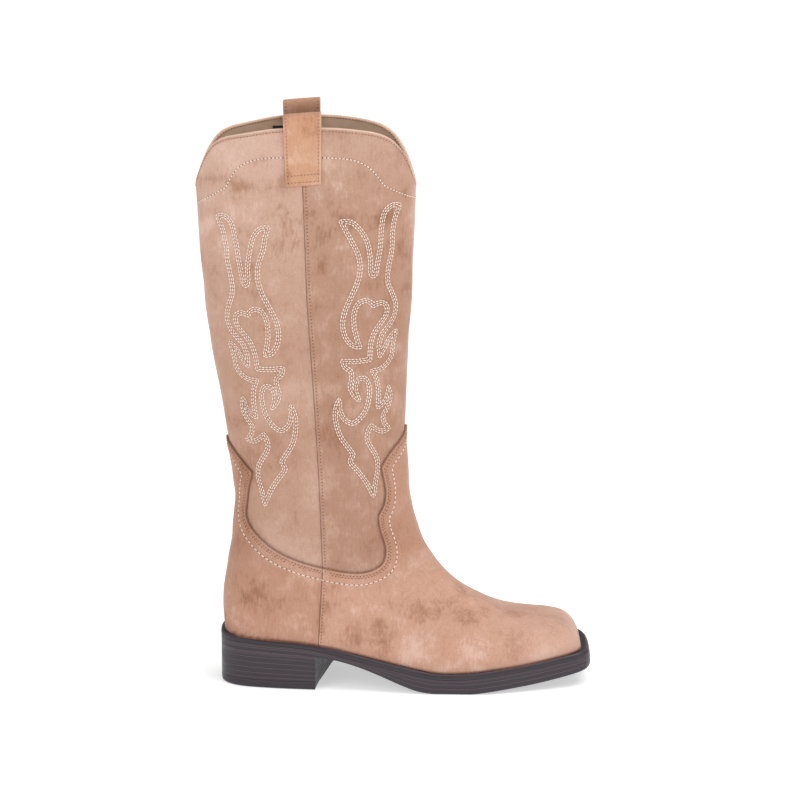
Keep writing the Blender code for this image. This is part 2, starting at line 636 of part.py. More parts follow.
def build_bottom():
    whole = plan_pairs()
    outsole_top = raised(welt_top, -WELT_THICK - GAP)
    outsole = slab("outsole", [(whole, outsole_top), (whole, raised(outsole_under, EDGE_ROUND)),
                               (inset_plan(whole, EDGE_ROUND), outsole_under)], sole_rubber())
    welt_inner = inset_plan(whole, WELT_WIDTH)
    welt_under = raised(welt_top, -WELT_THICK)
    ring_band("welt", [(whole, welt_top), (whole, welt_under), (welt_inner, welt_under),
                       (welt_inner, welt_top)], sole_rubber())
    board = inset_plan(whole, BOARD_INSET, BOARD_TOE)
    slab("insole_board", [(board, raised(welt_top, BOARD_ABOVE)),
                          (board, raised(welt_top, -BOARD_BELOW))], stiff_board())
    bed_low = inset_plan(whole, FOOTBED_INSET, FOOTBED_TOE)
    bed_top = inset_plan(whole, FOOTBED_INSET + FOOTBED_ROUND, FOOTBED_TOE - FOOTBED_ROUND)
    bed_floor = BOARD_ABOVE + GAP
    slab("footbed", [(bed_top, raised(welt_top, bed_floor + FOOTBED_THICK)),
                     (bed_low, raised(welt_top, bed_floor + FOOTBED_THICK - FOOTBED_ROUND)),
                     (bed_low, raised(welt_top, bed_floor))], suede())
    filler = inset_plan(plan_pairs(low=FILLER_BACK), BOARD_INSET, BOARD_TOE)
    slab("bottom_filler", [(filler, raised(welt_top, -FILLER_ROOF)),
                           (filler, raised(welt_top, -FILLER_FLOOR))], stiff_board())
    shank = plan_pairs(low=SHANK_BACK, high=SHANK_FRONT)
    shank[:, 0, 1] = -SHANK_HALF_WIDTH
    shank[:, 1, 1] = SHANK_HALF_WIDTH
    slab("shank", [(shank, raised(welt_top, -FILLER_ROOF)),
                   (shank, raised(welt_top, -FILLER_FLOOR))], bright_steel())

    heel = heel_pairs()
    lift_top = TOP_LIFT_THICK
    block = slab("heel_block", [(heel, raised(outsole_under, -GAP)),
                                (heel, lambda x: np.full(len(x), lift_top + GAP))], sole_rubber())
    slab("heel_top_piece", [(heel, lambda x: np.full(len(x), lift_top)),
                            (heel, lambda x: np.full(len(x), EDGE_ROUND)),
                            (inset_plan(heel, EDGE_ROUND), lambda x: np.zeros(len(x)))], sole_rubber())
    reach = NAIL_IN_HEEL + 1.0
    cutter = nail_cutter("nail_cutter", -reach - 12.0, 2.0)
    cut_with(outsole, cutter)
    cut_with(block, cutter)
    for number, (x, y) in enumerate(NAIL_PLACES, start=1):
        build_nail(number, x, y)


def clear_scene():
    for thing in list(bpy.data.objects):
        bpy.data.objects.remove(thing, do_unlink=True)


def main():
    clear_scene()
    build_upper()
    build_strap("lateral_pull_strap", -1)
    build_strap("medial_pull_strap", 1)
    build_label()
    build_bottom()


main()
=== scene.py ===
"""Looks of the square-toed western boot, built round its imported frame.

Lengths are millimetres in the boot's own layout; place() moves them into the frame's metres.
The upper is one lofted surface. Every panel, lining and stitch lies at a distance from it.
"""
import math

import bpy
import numpy as np
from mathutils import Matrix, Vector
from mathutils.kdtree import KDTree


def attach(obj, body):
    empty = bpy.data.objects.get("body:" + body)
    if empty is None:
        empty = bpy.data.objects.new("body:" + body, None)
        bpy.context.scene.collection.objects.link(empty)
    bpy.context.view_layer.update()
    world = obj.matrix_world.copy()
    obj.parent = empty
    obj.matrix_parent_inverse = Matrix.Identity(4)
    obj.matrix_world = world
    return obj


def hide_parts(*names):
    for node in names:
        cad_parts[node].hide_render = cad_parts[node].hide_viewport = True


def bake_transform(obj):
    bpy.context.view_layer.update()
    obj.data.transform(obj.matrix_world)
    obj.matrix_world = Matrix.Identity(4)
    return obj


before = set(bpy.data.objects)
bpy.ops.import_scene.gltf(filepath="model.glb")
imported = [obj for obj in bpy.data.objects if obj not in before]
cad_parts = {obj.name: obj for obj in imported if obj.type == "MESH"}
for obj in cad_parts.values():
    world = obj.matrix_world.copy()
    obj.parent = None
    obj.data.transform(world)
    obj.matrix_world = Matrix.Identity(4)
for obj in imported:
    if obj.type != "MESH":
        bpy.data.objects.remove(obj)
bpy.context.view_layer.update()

MM = 0.001
FRAME_ORIGIN = np.array([-6.165, 0.35, 0.0])

# ---- the lofted upper, from the top down: front x, front z, back x, back z, half width, centre y,
# ---- share of its length where it is widest, front roundness and back roundness of each section
STATIONS = np.array([
    [9.5, 440, -156.5, 440, 34, 0, 0.5, 2.2, 2.2],
    [8.3, 395, -155.3, 395, 34.5, 0, 0.5, 2.2, 2.2],
    [6.8, 350, -153.6, 350, 35.6, 0, 0.5, 2.2, 2.2],
    [4.2, 305, -150, 305, 36.8, 0, 0.5, 2.2, 2.2],
    [2.2, 260, -144.8, 260, 37.8, 0, 0.5, 2.2, 2.2],
    [0.6, 220, -138.2, 220, 38, 0, 0.5, 2.2, 2.2],
    [-0.6, 185, -132.6, 185, 37.4, 0, 0.5, 2.15, 2.15],
    [0.4, 160, -129, 160, 36.4, 0, 0.5, 2.1, 2.1],
    [2.2, 141, -127.5, 139, 35.8, 0, 0.5, 2.05, 2.1],
    [4, 131, -129.8, 117, 35.2, 0, 0.49, 2, 2.2],
    [6.6, 122, -133.2, 94, 34.8, 0, 0.47, 2, 2.3],
    [10, 113, -137.2, 69, 34.4, 0, 0.45, 2, 2.4],
    [13.4, 105.8, -136.8, 48, 34, -0.5, 0.44, 2, 2.5],
    [15.6, 102, -134.6, 33, 33.6, -0.7, 0.44, 2, 2.8],
    [18.2, 98, -110, 20, 33.8, -1, 0.44, 2, 3],
    [23.6, 90, -68, 15, 34.6, -1.5, 0.43, 2, 3.2],
    [30.6, 81.6, -37, 10, 37, -1.5, 0.41, 2.05, 3.3],
    [40, 73, -6, 4, 40.4, -1, 0.38, 2.1, 3.3],
    [53, 64.2, 28, 2, 43.2, -0.5, 0.36, 2.2, 3.3],
    [68.5, 56.2, 58, 2, 43.6, 0.5, 0.35, 2.3, 3.3],
    [84, 51.6, 84, 4.5, 41.4, 1.5, 0.35, 2.4, 3.3],
    [98, 49.4, 98, 7, 38.4, 2.2, 0.35, 2.6, 3.3],
    [111, 47.8, 111, 10, 35, 2.6, 0.35, 2.8, 3.3],
    [121, 44.8, 121, 12.5, 32.2, 2.8, 0.37, 2.9, 3.3],
    [127.2, 39.4, 127.2, 15, 29.3, 3, 0.4, 2.9, 3.3],
    [130.7, 32.8, 130.7, 18, 26, 3, 0.44, 2.9, 3.2],
    [132.8, 25.5, 132.8, 22.5, 20.5, 3, 0.45, 2.8, 3],
])
# height and x of the seam between the front and back panels
SIDE_SEAM = ((30, -66), (62, -64.4), (95, -62.4), (165, -64.6), (227, -67.8),
             (303, -72.6), (385, -75), (445, -75))
# the scalloped top edge: where between the back (-1) and the front (1), and height
RIM_EDGE = ((-1, 383), (-0.9, 391.5), (-0.8, 406), (-0.7, 416.8), (-0.6, 421.4), (-0.5, 423.5),
            (-0.4, 425.3), (-0.25, 427.8), (0, 429), (0.25, 428.5), (0.4, 426.9), (0.5, 425.3),
            (0.6, 422.5), (0.7, 416.6), (0.8, 405.8), (0.9, 391.5), (1, 383))
RIM_HIGH = 429.0

# Edge of the vamp and counter over the shaft, in smooth stretches between its corners:
# girth share (1 centre front, 0 side seam, -1 centre back) and height
OVERLAY_EDGE = (
    ((1, 199), (0.88, 193.8), (0.76, 188), (0.66, 181.5), (0.58, 172.5)),
    ((0.58, 172.5), (0.6, 165), (0.62, 155), (0.6, 145), (0.535, 135.5)),
    ((0.535, 135.5), (0.545, 124.5), (0.57, 112), (0.565, 104.5), (0.53, 97.4),
     (0.457, 93.3), (0.35, 91.3), (0.21, 92.3), (0, 96.4), (-0.185, 101.2), (-0.39, 108.6),
     (-0.565, 117.8), (-0.68, 126.4), (-0.735, 135.5), (-0.71, 149.5), (-0.615, 168.6)),
    ((-0.615, 168.6), (-0.735, 178), (-0.85, 185.5), (-1, 191)))
GIRTH_SCALE = 90.0
FACING_EDGE = ((0, 405.5), (0.3, 405.5), (0.48, 398), (0.61, 383), (0.72, 377), (1, 366))
# cream line through the collar: girth share and height; it turns a corner at its second stretch
COLLAR_LINE = (
    ((0, 407), (0.25, 406.7), (0.377, 404.8), (0.475, 400.6), (0.55, 393.8), (0.607, 386)),
    ((0.607, 386), (0.7, 381), (0.8, 376.2), (0.9, 372.2), (1, 369.4)))

# Embroidered figure of the front panel: mm ahead of the side seam and height. It is closed,
# and smooth inside each stretch.
FIGURE = (
    ((27, 360), (34, 346), (39, 335), (40, 324), (37, 313), (31, 301), (26.5, 291), (25, 281),
     (27.5, 272), (31.5, 267.5), (37, 266)),
    ((37, 266), (34.5, 275), (33.5, 284), (34.5, 293), (38.5, 299.5), (43.5, 301), (47, 299.5),
     (49, 296.5)),
    ((49, 296.5), (52, 298), (56, 298.5), (59.5, 296), (59.5, 290), (55, 284), (50, 278),
     (46, 270), (44.5, 262), (44, 256)),
    ((44, 256), (34, 255.5), (23, 256)),
    ((23, 256), (24.5, 251.5), (29, 248), (29, 243), (27.5, 237), (29, 231.5), (34, 225.5)),
    ((34, 225.5), (31.5, 232), (31.5, 238), (35, 242.5), (39.5, 242), (42, 236), (41.5, 228),
     (39, 219.5), (34, 212.5), (27.5, 208.5), (22, 211.5), (19, 218), (18.5, 227)),
    ((18.5, 227), (15.5, 219), (15.5, 209), (18.5, 198), (23.5, 190), (27, 184.5)),
    ((27, 184.5), (25, 181.5), (24, 178.5)),
    ((24, 178.5), (30, 171), (35.5, 162.5), (41, 151)),
    ((41, 151), (43, 162), (45.3, 172), (44.5, 181.5), (40.5, 189.5), (38, 196), (39.5, 202),
     (42, 206)),
    ((42, 206), (46, 202.5), (51, 200.5), (57, 202)),
    ((57, 202), (53, 206), (52, 212), (56.5, 218.5), (59.5, 225.5), (58.5, 234)),
    ((58.5, 234), (56, 226), (51.5, 221), (48, 219)),
    ((48, 219), (49, 227), (49, 236), (47.5, 243), (45, 247.5)),
    ((45, 247.5), (51, 248), (57.5, 251.5), (62.5, 257.5), (64, 266), (67, 276)),
    ((67, 276), (61, 271), (57, 265), (52, 258)),
    ((52, 258), (52, 266.5), (55, 274.5), (61, 281), (66, 288), (67.5, 296), (64.5, 305),
     (61, 314), (62, 325), (65, 337), (66, 350), (68.5, 361), (73, 370)),
    ((73, 370), (67, 370.5), (60.5, 366), (57.5, 355), (56, 341), (53, 327), (51.5, 320.5),
     (49.5, 318.5), (48, 321), (48, 331), (46, 344), (41, 353.5), (34.5, 359.5), (27, 360)))
FIGURE_ROWS = (-1.5, 0.0, 1.5)
# the back panel carries it mirrored, a little lower and tilted: mm behind the seam and height
FIGURE_BACK = np.array([[0.936, -0.075], [-0.020, 1.007]])
FIGURE_BACK_SHIFT = (4.6, -5.0)

# layers, as distances of their inner and outer faces from the outer face of the shaft leather
OVERLAY_IN, OVERLAY_OUT = 0.1, 1.8
LEATHER_IN = -1.4
STIFFENER_IN, STIFFENER_OUT = -1.3, -0.05
LINING_IN, LINING_OUT = -2.6, -1.6
FACING_IN, FACING_OUT = -3.8, -2.7
LAP = 9.0
# the shaft leather ends below the rim's fold
RIM_FOLD = 1.9
# patterns are open at the middle of the front and the back: the last girth share that carries a row
ROW_END = 0.985

# rows of stitches: pitch, length of a stitch and its radius
OVERLAY_TONAL_ROW = (2.5, 1.5, 0.30)
OVERLAY_CREAM_ROW = (3.7, 2.7, 0.42)
COLLAR_ROW = (2.8, 2.1, 0.40)
SEAM_ROW = (2.6, 1.8, 0.32)
RIM_ROW = (2.4, 1.6, 0.30)
FIGURE_ROW = (2.7, 2.1, 0.42)
STRAP_ROW = (2.6, 1.7, 0.30)
HOLE_RADIUS, SMALL_HOLE_RADIUS = 0.46, 0.38

# ---- the bottom
SOLE_PLAN = np.array([
    [-140.6, -8, 8], [-139.4, -13.5, 13], [-136.4, -18.7, 17.8], [-131, -23.6, 22.6],
    [-122, -27.8, 26.8], [-108, -31, 29.8], [-90, -33.7, 32.2], [-68, -36, 34.4],
    [-57, -37, 35.3], [-38, -39.2, 37.2], [-20, -41.6, 39.4], [-4, -43.6, 41.6],
    [8, -45, 43.4], [20, -46, 45], [35, -46.7, 46.6], [50, -47.1, 47.5],
    [64, -46.3, 47.8], [79, -43.4, 47.2], [98, -39, 44.2], [116, -34.2, 40],
    [127, -31.2, 36.2], [133.4, -28.8, 32], [137.7, -25.6, 27], [140.3, -19.8, 20],
    [141.3, -12, 11]])
WELT_TOP = ((-150, 40.3), (-136, 40.1), (-110, 39.2), (-63, 34.8), (-38, 29),
            (-4, 21.2), (25, 16), (45, 16.3), (70, 18.9), (98, 22.2),
            (121, 25.8), (143, 29.2))
OUTSOLE_UNDER = ((-142, 30), (-110, 29), (-68, 26.2), (-57, 24.4), (-38, 19.6),
                 (-20, 13), (-4, 6.2), (8, 1.9), (20, 0), (50, 0), (64, 1.5),
                 (79, 3.2), (98, 5.6), (116, 8.5), (131, 11.6), (143, 14.8))
# where the heel's front face meets the outer and the inner side of the sole
HEEL_BREAST = (-68.0, -54.0)
SIDE_STEPS, HEEL_SIDE_STEPS, END_STEPS = 170, 50, 23
# the welt's foot and the outsole's top, below the welt's top edge
WELT_FOOT, OUTSOLE_TOP = 4.35, 4.4
# height of the joint between the heel block and its lift
LIFT_TOP = 6.2
# the footbed's underside above the welt's top edge, and its thickness
BED_RISE, BED_THICK = 1.2, 3.0

# ---- pull straps and label
STRAP_X, STRAP_HALF_WIDTH, STRAP_THICK = {-1: -74.7, 1: -77.0}, 13.3, 1.8
# the outer strap's loop has sunk a little above this height
STRAP_SAG, STRAP_SAG_FROM = {-1: 1.6, 1: 0.0}, 412.0
STRAP_TILT = 0.08
# how far its rows of stitches lie from its edge, and the step of its path
STRAP_ROW_IN, STRAP_STEP = 1.9, 1.3
STRAP_PATH = ((1.5, 387), (1.5, 398), (1.5, 412), (1.5, 425), (2.1, 431), (2.3, 435),
              (0.9, 439), (-2, 440.4), (-4.9, 439), (-6.3, 435), (-6.1, 431),
              (-5.5, 425), (-5.5, 412), (-5.5, 398), (-5.5, 387))


def place(points):
    return (np.asarray(points, float) - FRAME_ORIGIN) * MM


def curve_through(points, where):
    """A smooth curve through uneven knots; points holds the knot first and its values after."""
    points = np.asarray(points, float)
    knots = points[:, 0]
    values = points[:, 1:]
    where = np.atleast_1d(np.asarray(where, float))
    steps = np.diff(knots)
    slopes = np.diff(values, axis=0) / steps[:, None]
    tangents = np.empty_like(values)
    tangents[0] = slopes[0]
    tangents[-1] = slopes[-1]
    weights = (steps[1:] + steps[:-1])[:, None]
    tangents[1:-1] = (slopes[:-1] * steps[1:, None] + slopes[1:] * steps[:-1, None]) / weights
    index = np.clip(np.searchsorted(knots, where, side="right") - 1, 0, len(steps) - 1)
    width = steps[index][:, None]
    u = ((where - knots[index])[:, None]) / width
    return (values[index] * (1 + 2 * u) * (1 - u) ** 2
            + tangents[index] * width * u * (1 - u) ** 2
            + values[index + 1] * u * u * (3 - 2 * u)
            + tangents[index + 1] * width * u * u * (u - 1))


def run_along(points, power=1.0):
    """Distance along a polyline at each of its points; a power under 1 evens out its steps."""
    return np.concatenate([[0], np.cumsum(np.linalg.norm(np.diff(points, axis=0), axis=1) ** power)])


def read_at(stops, run, table):
    """Each column of a table whose rows lie at run, read at the stops."""
    return np.column_stack([np.interp(stops, run, column) for column in table.T])


def evenly(points, count):
    """A number of points at equal steps along an open polyline."""
    run = run_along(points)
    return read_at(np.linspace(0, run[-1], count), run, points)


def along(points, step):
    """Points at nearly a given step along an open polyline."""
    points = np.asarray(points, float)
    return evenly(points, max(2, int(round(run_along(points)[-1] / step)) + 1))


def smooth_through(points, step, scale=(1.0, 1.0)):
    """A smooth open curve through a few points, in even steps; its metric is scaled."""
    points = np.asarray(points, float) * scale
    run = run_along(points, 0.7)
    fine = np.linspace(0, run[-1], 24 * len(points))
    return along(curve_through(np.column_stack([run, points]), fine), step)


def joined(stretches, step, scale=(1.0, 1.0)):
    """Smooth stretches end to end, with a corner where they meet."""
    parts = [smooth_through(stretch, step, scale) for stretch in stretches]
    return np.concatenate([part[:-1] for part in parts] + [parts[-1][-1:]])


def welt_top(x):
    return curve_through(WELT_TOP, x)[:, 0]


def outsole_under(x):
    return curve_through(OUTSOLE_UNDER, x)[:, 0].clip(0)


def seam_x(z):
    return np.interp(z, [p[0] for p in SIDE_SEAM], [p[1] for p in SIDE_SEAM])


def to_polyline(spots, line):
    """Distance of many flat points to a polyline."""
    nearest = np.full(len(spots), 1e9)
    for p, q in zip(line[:-1], line[1:]):
        leg = q - p
        t = np.clip(((spots - p) * leg).sum(axis=1) / max((leg * leg).sum(), 1e-12), 0, 1)
        nearest = np.minimum(nearest, np.linalg.norm(spots - p - t[:, None] * leg, axis=1))
    return nearest


def inside_outline(spots, line):
    inside = np.zeros(len(spots), bool)
    for p, q in zip(line, np.roll(line, -1, axis=0)):
        if p[1] != q[1]:
            spans = (p[1] > spots[:, 1]) != (q[1] > spots[:, 1])
            inside ^= spans & (spots[:, 0] < p[0] + (spots[:, 1] - p[1]) / (q[1] - p[1]) * (q[0] - p[0]))
    return inside


def step_up(value, low, high):
    t = np.clip((value - low) / (high - low), 0, 1)
    return t * t * (3 - 2 * t)


def ridge(value, middle, width):
    """A smooth hump, 1 at the middle and nearly 0 two widths away."""
    return np.exp(-((value - middle) / width) ** 2)


def back_figure(line):
    """The back panel's figure: its foot a little wider and its near tip farther from the seam."""
    line = line @ FIGURE_BACK + FIGURE_BACK_SHIFT
    foot = step_up(200.0 - line[:, 1], 0, 30)
    tip = step_up(line[:, 1], 335, 352)
    line[:, 0] += foot * (1.0 + 0.1 * (line[:, 0] - 24))
    line[:, 0] += 3.6 * tip * (1 - (line[:, 0] - 23) / 43).clip(0)
    return line


OVERLAY_LINE = joined(OVERLAY_EDGE, 1.5, (GIRTH_SCALE, 1.0))
FIGURE_LINE = joined(FIGURE, 1.0)
FIGURE_LINE_BACK = back_figure(FIGURE_LINE)


class Loft:
    """The upper's surface as a grid: points, normals, girth shares and arcs from the seam."""

    def __init__(self, step):
        front = np.linalg.norm(np.diff(STATIONS[:, :2], axis=0), axis=1)
        back = np.linalg.norm(np.diff(STATIONS[:, 2:4], axis=0), axis=1)
        knots = np.concatenate([[0], np.cumsum((front + back) / 2)])
        stops = np.linspace(0, knots[-1], int(knots[-1] / step) + 1)
        rows = curve_through(np.column_stack([knots, STATIONS]), stops)
        half = int(200 / step)
        self.half = half
        shares = np.linspace(0, 1, half + 1)
        self.share = np.concatenate([shares, shares[-2:0:-1]])
        self.side = np.concatenate([-np.ones(half + 1), np.ones(half - 1)])
        shape = (len(rows), 2 * half)
        self.points = np.empty(shape + (3,))
        for i, row in enumerate(rows):
            self.points[i] = self.section(row, shares)
        self.girth = np.empty(shape)
        self.arc = np.empty(shape)
        for i in range(shape[0]):
            self.measure_row(i)
        self.set_normals()
        bumps = self.folds()
        self.points += self.normals * bumps[..., None]
        self.set_normals()

    def section(self, row, shares, fine=321):
        length = math.hypot(row[0] - row[2], row[1] - row[3])
        widest, front_round, back_round = row[6], row[7], row[8]
        turn = np.linspace(0, math.pi, fine)
        cosine = np.abs(np.cos(turn))
        sine = np.sin(turn).clip(0)
        behind = turn <= math.pi / 2
        forward = np.where(behind, widest * (1 - cosine ** (2 / back_round)),
                           widest + (1 - widest) * cosine ** (2 / front_round))
        across = np.where(behind, sine ** (2 / back_round), sine ** (2 / front_round)) * row[4]
        run = np.concatenate([[0], np.cumsum(np.hypot(np.diff(forward) * length, np.diff(across)))])
        forward = np.interp(shares * run[-1], run, forward)
        across = np.interp(shares * run[-1], run, across)
        spine = row[2:4] + (row[:2] - row[2:4]) * forward[:, None]
        outer = np.column_stack([spine[:, 0], row[5] - across, spine[:, 1]])
        inner = np.column_stack([spine[:, 0], row[5] + across, spine[:, 1]])
        return np.concatenate([outer, inner[-2:0:-1]])

    def measure_row(self, i):
        line = self.points[i, :self.half + 1]
        ahead = line[:, 0] - seam_x(line[:, 2])
        crossing = np.where((ahead[:-1] < 0) & (ahead[1:] >= 0))[0]
        seam = 0.0
        if len(crossing):
            k = crossing[0]
            seam = (k + ahead[k] / (ahead[k] - ahead[k + 1])) / self.half
        length = np.linalg.norm(np.diff(line, axis=0), axis=1).sum()
        forward = (self.share - seam) / (1 - seam)
        backward = (self.share - seam) / max(seam, 1e-6)
        self.girth[i] = np.where(self.share >= seam, forward, backward)
        self.arc[i] = (self.share - seam) * length

    def set_normals(self):
        down = np.gradient(self.points, axis=0)
        around = np.roll(self.points, -1, axis=1) - np.roll(self.points, 1, axis=1)
        normals = np.cross(down, around)
        self.normals = normals / np.linalg.norm(normals, axis=2, keepdims=True)

    def folds(self):
        """Soft creases round the ankle and slack in the shaft, in mm outwards."""
        x, z = self.points[..., 0], self.points[..., 2]
        u = self.girth
        s = self.side[None, :]
        creases = ridge(z, 128, 26) * ridge(u, 0.75, 0.55) * 0.85 * np.sin((z + 0.42 * x + 5 * s) / 6.4)
        creases += ridge(z, 120, 24) * ridge(u, -0.85, 0.5) * 0.6 * np.sin((z - 0.25 * x + 3 * s) / 6.0)
        shaft = np.clip((z - 130) / 60, 0, 1) * np.clip((425 - z) / 60, 0, 1)
        slack = shaft * (0.7 * np.sin(z / 23.0 + 1.9 * u + s) * np.sin(2.6 * u + 0.7 * s)
                         + 0.45 * np.sin(z / 11.0 - 3.3 * u) * np.sin(4.1 * u + 1.3 + s))
        foot = np.clip((110 - z) / 30, 0, 1) * np.clip((z - 30) / 20, 0, 1)
        slack += foot * 0.35 * np.sin(x / 17.0 + 1.2 * s) * np.sin(z / 13.0 + x / 29.0)
        return creases + slack

    def rim(self):
        height = curve_through(RIM_EDGE, self.share * 2 - 1)[:, 0]
        return np.broadcast_to(height, self.girth.shape)

    def sole_top(self):
        x = self.points[..., 0]
        return welt_top(x.ravel()).reshape(x.shape)

    def overlay_depth(self):
        """How far each point lies inside the edge of the vamp and counter."""
        spots = np.stack([self.girth * GIRTH_SCALE, self.points[..., 2]], axis=-1).reshape(-1, 2)
        wide = 1.6 * GIRTH_SCALE
        back = OVERLAY_LINE[-1, 1]
        front = OVERLAY_LINE[0, 1]
        outline = np.concatenate([OVERLAY_LINE, [[-wide, back], [-wide, -60], [wide, -60], [wide, front]]])
        depth = to_polyline(spots, OVERLAY_LINE)
        inside = inside_outline(spots, outline)
        return np.where(inside, depth, -depth).reshape(self.girth.shape)

    def figure_distance(self):
        """Distance to the embroidered lines, which are the same on both sides."""
        spots = np.stack([self.arc, self.points[..., 2]], axis=-1).reshape(-1, 2)
        near = (spots[:, 1] > 130) & (spots[:, 1] < 380)
        away = np.full(len(spots), 99.0)
        for turn, line in ((1, FIGURE_LINE), (-1, FIGURE_LINE_BACK)):
            chosen = near & (spots[:, 0] * turn > 0)
            away[chosen] = to_polyline(spots[chosen] * (turn, 1), line[::3])
        return away.reshape(self.girth.shape)


class Patch:
    """Triangles whose corners carry named values, cut along lines where a value is zero."""

    def __init__(self, loft, levels):
        rows, columns = loft.girth.shape
        self.data = {"point": loft.points.reshape(-1, 3), "normal": loft.normals.reshape(-1, 3)}
        for name, level in levels.items():
            self.data[name] = np.asarray(level, float).reshape(-1, 1)
        i, j = np.meshgrid(np.arange(rows - 1), np.arange(columns), indexing="ij")
        n = (j + 1) % columns
        a, b, c, d = (i * columns + j, i * columns + n, (i + 1) * columns + n, (i + 1) * columns + j)
        flip = (i + j) % 2 == 0
        first = np.where(flip[..., None], np.stack([a, b, c], -1), np.stack([a, b, d], -1))
        second = np.where(flip[..., None], np.stack([a, c, d], -1), np.stack([b, c, d], -1))
        self.triangles = np.concatenate([first.reshape(-1, 3), second.reshape(-1, 3)])

    def __getitem__(self, name):
        value = self.data[name]
        return value[:, 0] if value.shape[1] == 1 else value

    def cut(self, name, at=0.0, both=False, snap=0.06):
        value = self[name] - at
        above = value > 0
        count = above[self.triangles].sum(axis=1)
        parts = [self.triangles[count == 3]]
        if both:
            parts.append(self.triangles[count == 0])
        mixed = self.triangles[(count == 1) | (count == 2)]
        lone_above = above[mixed].sum(axis=1) == 1
        odd = np.argmax(above[mixed] == lone_above[:, None], axis=1)
        turned = mixed[np.arange(len(mixed))[:, None], (odd[:, None] + np.arange(3)) % 3]
        a, b, c = turned.T
        pairs = np.concatenate([np.stack([a, b], 1), np.stack([a, c], 1)])
        pairs.sort(axis=1)
        edges, index = np.unique(pairs, axis=0, return_inverse=True)
        index = index.reshape(-1)
        start = value[edges[:, 0]]
        share = start / (start - value[edges[:, 1]])
        number = len(above) + np.arange(len(edges))
        number[share < snap] = edges[share < snap, 0]
        number[share > 1 - snap] = edges[share > 1 - snap, 1]
        for key, values in self.data.items():
            made = values[edges[:, 0]] * (1 - share[:, None]) + values[edges[:, 1]] * share[:, None]
            self.data[key] = np.concatenate([values, made])
        ab, ac = number[index[:len(mixed)]], number[index[len(mixed):]]
        tip = np.stack([a, ab, ac], 1)
        base = np.concatenate([np.stack([ab, b, c], 1), np.stack([ab, c, ac], 1)])
        lone_twice = np.concatenate([lone_above, lone_above])
        if both:
            parts += [tip, base]
        else:
            parts += [tip[lone_above], base[~lone_twice]]
        triangles = np.concatenate(parts)
        p, q, r = triangles.T
        self.triangles = triangles[(p != q) & (q != r) & (p != r)]
        return self

    def tidy(self):
        used, inverse = np.unique(self.triangles, return_inverse=True)
        self.triangles = inverse.reshape(-1, 3)
        self.data = {key: values[used] for key, values in self.data.items()}
        return self


def ring_faces(rings, count, base=0, closed=False, turned=False):
    """Faces between rings of count vertices; closed joins the last ring to the first one."""
    faces = []
    for r in range(rings if closed else rings - 1):
        s = (r + 1) % rings
        for k in range(count):
            n = (k + 1) % count
            quad = [base + at for at in (r * count + k, r * count + n, s * count + n, s * count + k)]
            faces.append(tuple(quad[:1] + quad[:0:-1]) if turned else tuple(quad))
    return faces


def webbing_faces(rings, turned=False):
    """Faces of rings that are a top row and, backwards, a bottom row; both ends are closed."""
    count = len(rings[0])
    faces = ring_faces(len(rings), count)
    for first, flip in ((0, 1), ((len(rings) - 1) * count, -1)):
        for k in range(count // 2 - 1):
            faces.append(tuple(first + at for at in (k, count - 1 - k, count - 2 - k, k + 1)[::flip]))
    return [face[::-1] for face in faces] if turned else faces


def add_mesh(name, vertices, faces, material, sharp=55, shades=None):
    """Lengths in layout millimetres; the mesh is linked and shaded.

    shades holds named values per vertex, which its material reads."""
    mesh = bpy.data.meshes.new(name)
    mesh.from_pydata(place(vertices).tolist(), [], [tuple(int(i) for i in face) for face in faces])
    for label, values in (shades or {}).items():
        mesh.attributes.new(label, "FLOAT", "POINT").data.foreach_set("value", np.asarray(values, "f"))
    mesh.validate()
    mesh.shade_smooth()
    if sharp:
        mesh.set_sharp_from_angle(angle=math.radians(sharp))
    mesh.materials.append(material)
    thing = bpy.data.objects.new(name, mesh)
    bpy.context.scene.collection.objects.link(thing)
    return thing


def shell(name, patch, inner, outer, edges, edge_round, material, shades=None):
    """A closed layer over a patch; its outer face rolls down where one of its edges is near."""
    for edge in edges:
        for depth in (edge_round, edge_round * 0.3):
            patch.cut(edge, depth, both=True)
    for edge in edges:
        patch.cut(edge)
    patch.tidy()
    if edges:
        near = np.min([patch[edge] for edge in edges], axis=0)
        share = np.clip(near / edge_round, 0, 1)
        drop = edge_round * (1 - np.sqrt(np.clip(1 - (1 - share) ** 2, 0, 1)))
    else:
        drop = 0.0
    height = np.asarray(outer if not callable(outer) else outer(patch)) - drop
    points, normals = patch["point"], patch["normal"]
    count = len(points)
    top = points + normals * np.broadcast_to(height, (count,))[:, None]
    bottom = points + normals * inner
    triangles = patch.triangles
    edges_all = np.concatenate([triangles[:, [0, 1]], triangles[:, [1, 2]], triangles[:, [2, 0]]])
    key = edges_all[:, 0] * (count + 1) + edges_all[:, 1]
    back = edges_all[:, 1] * (count + 1) + edges_all[:, 0]
    walls = edges_all[~np.isin(key, back)]
    faces = [tuple(t) for t in triangles.tolist()]
    faces += [(c + count, b + count, a + count) for a, b, c in triangles.tolist()]
    faces += [(b, a, a + count, b + count) for a, b in walls.tolist()]
    values = {label: np.tile(shade(patch), 2) for label, shade in (shades or {}).items()}
    return add_mesh(name, np.concatenate([top, bottom]), faces, material, shades=values)


def settle(thing, slot, *nodes):
    """Hides the frame's nodes that a piece stands for; its slot is not used."""
    if nodes:
        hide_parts(*nodes)


def bend(thing, slot, *nodes):
    """A piece attached to no body, with its placing baked into its mesh."""
    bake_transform(thing)
    settle(thing, slot, *nodes)


def carry(thing, body, slot, *nodes):
    """A piece that rides one body unbent."""
    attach(thing, body)
    settle(thing, slot, *nodes)


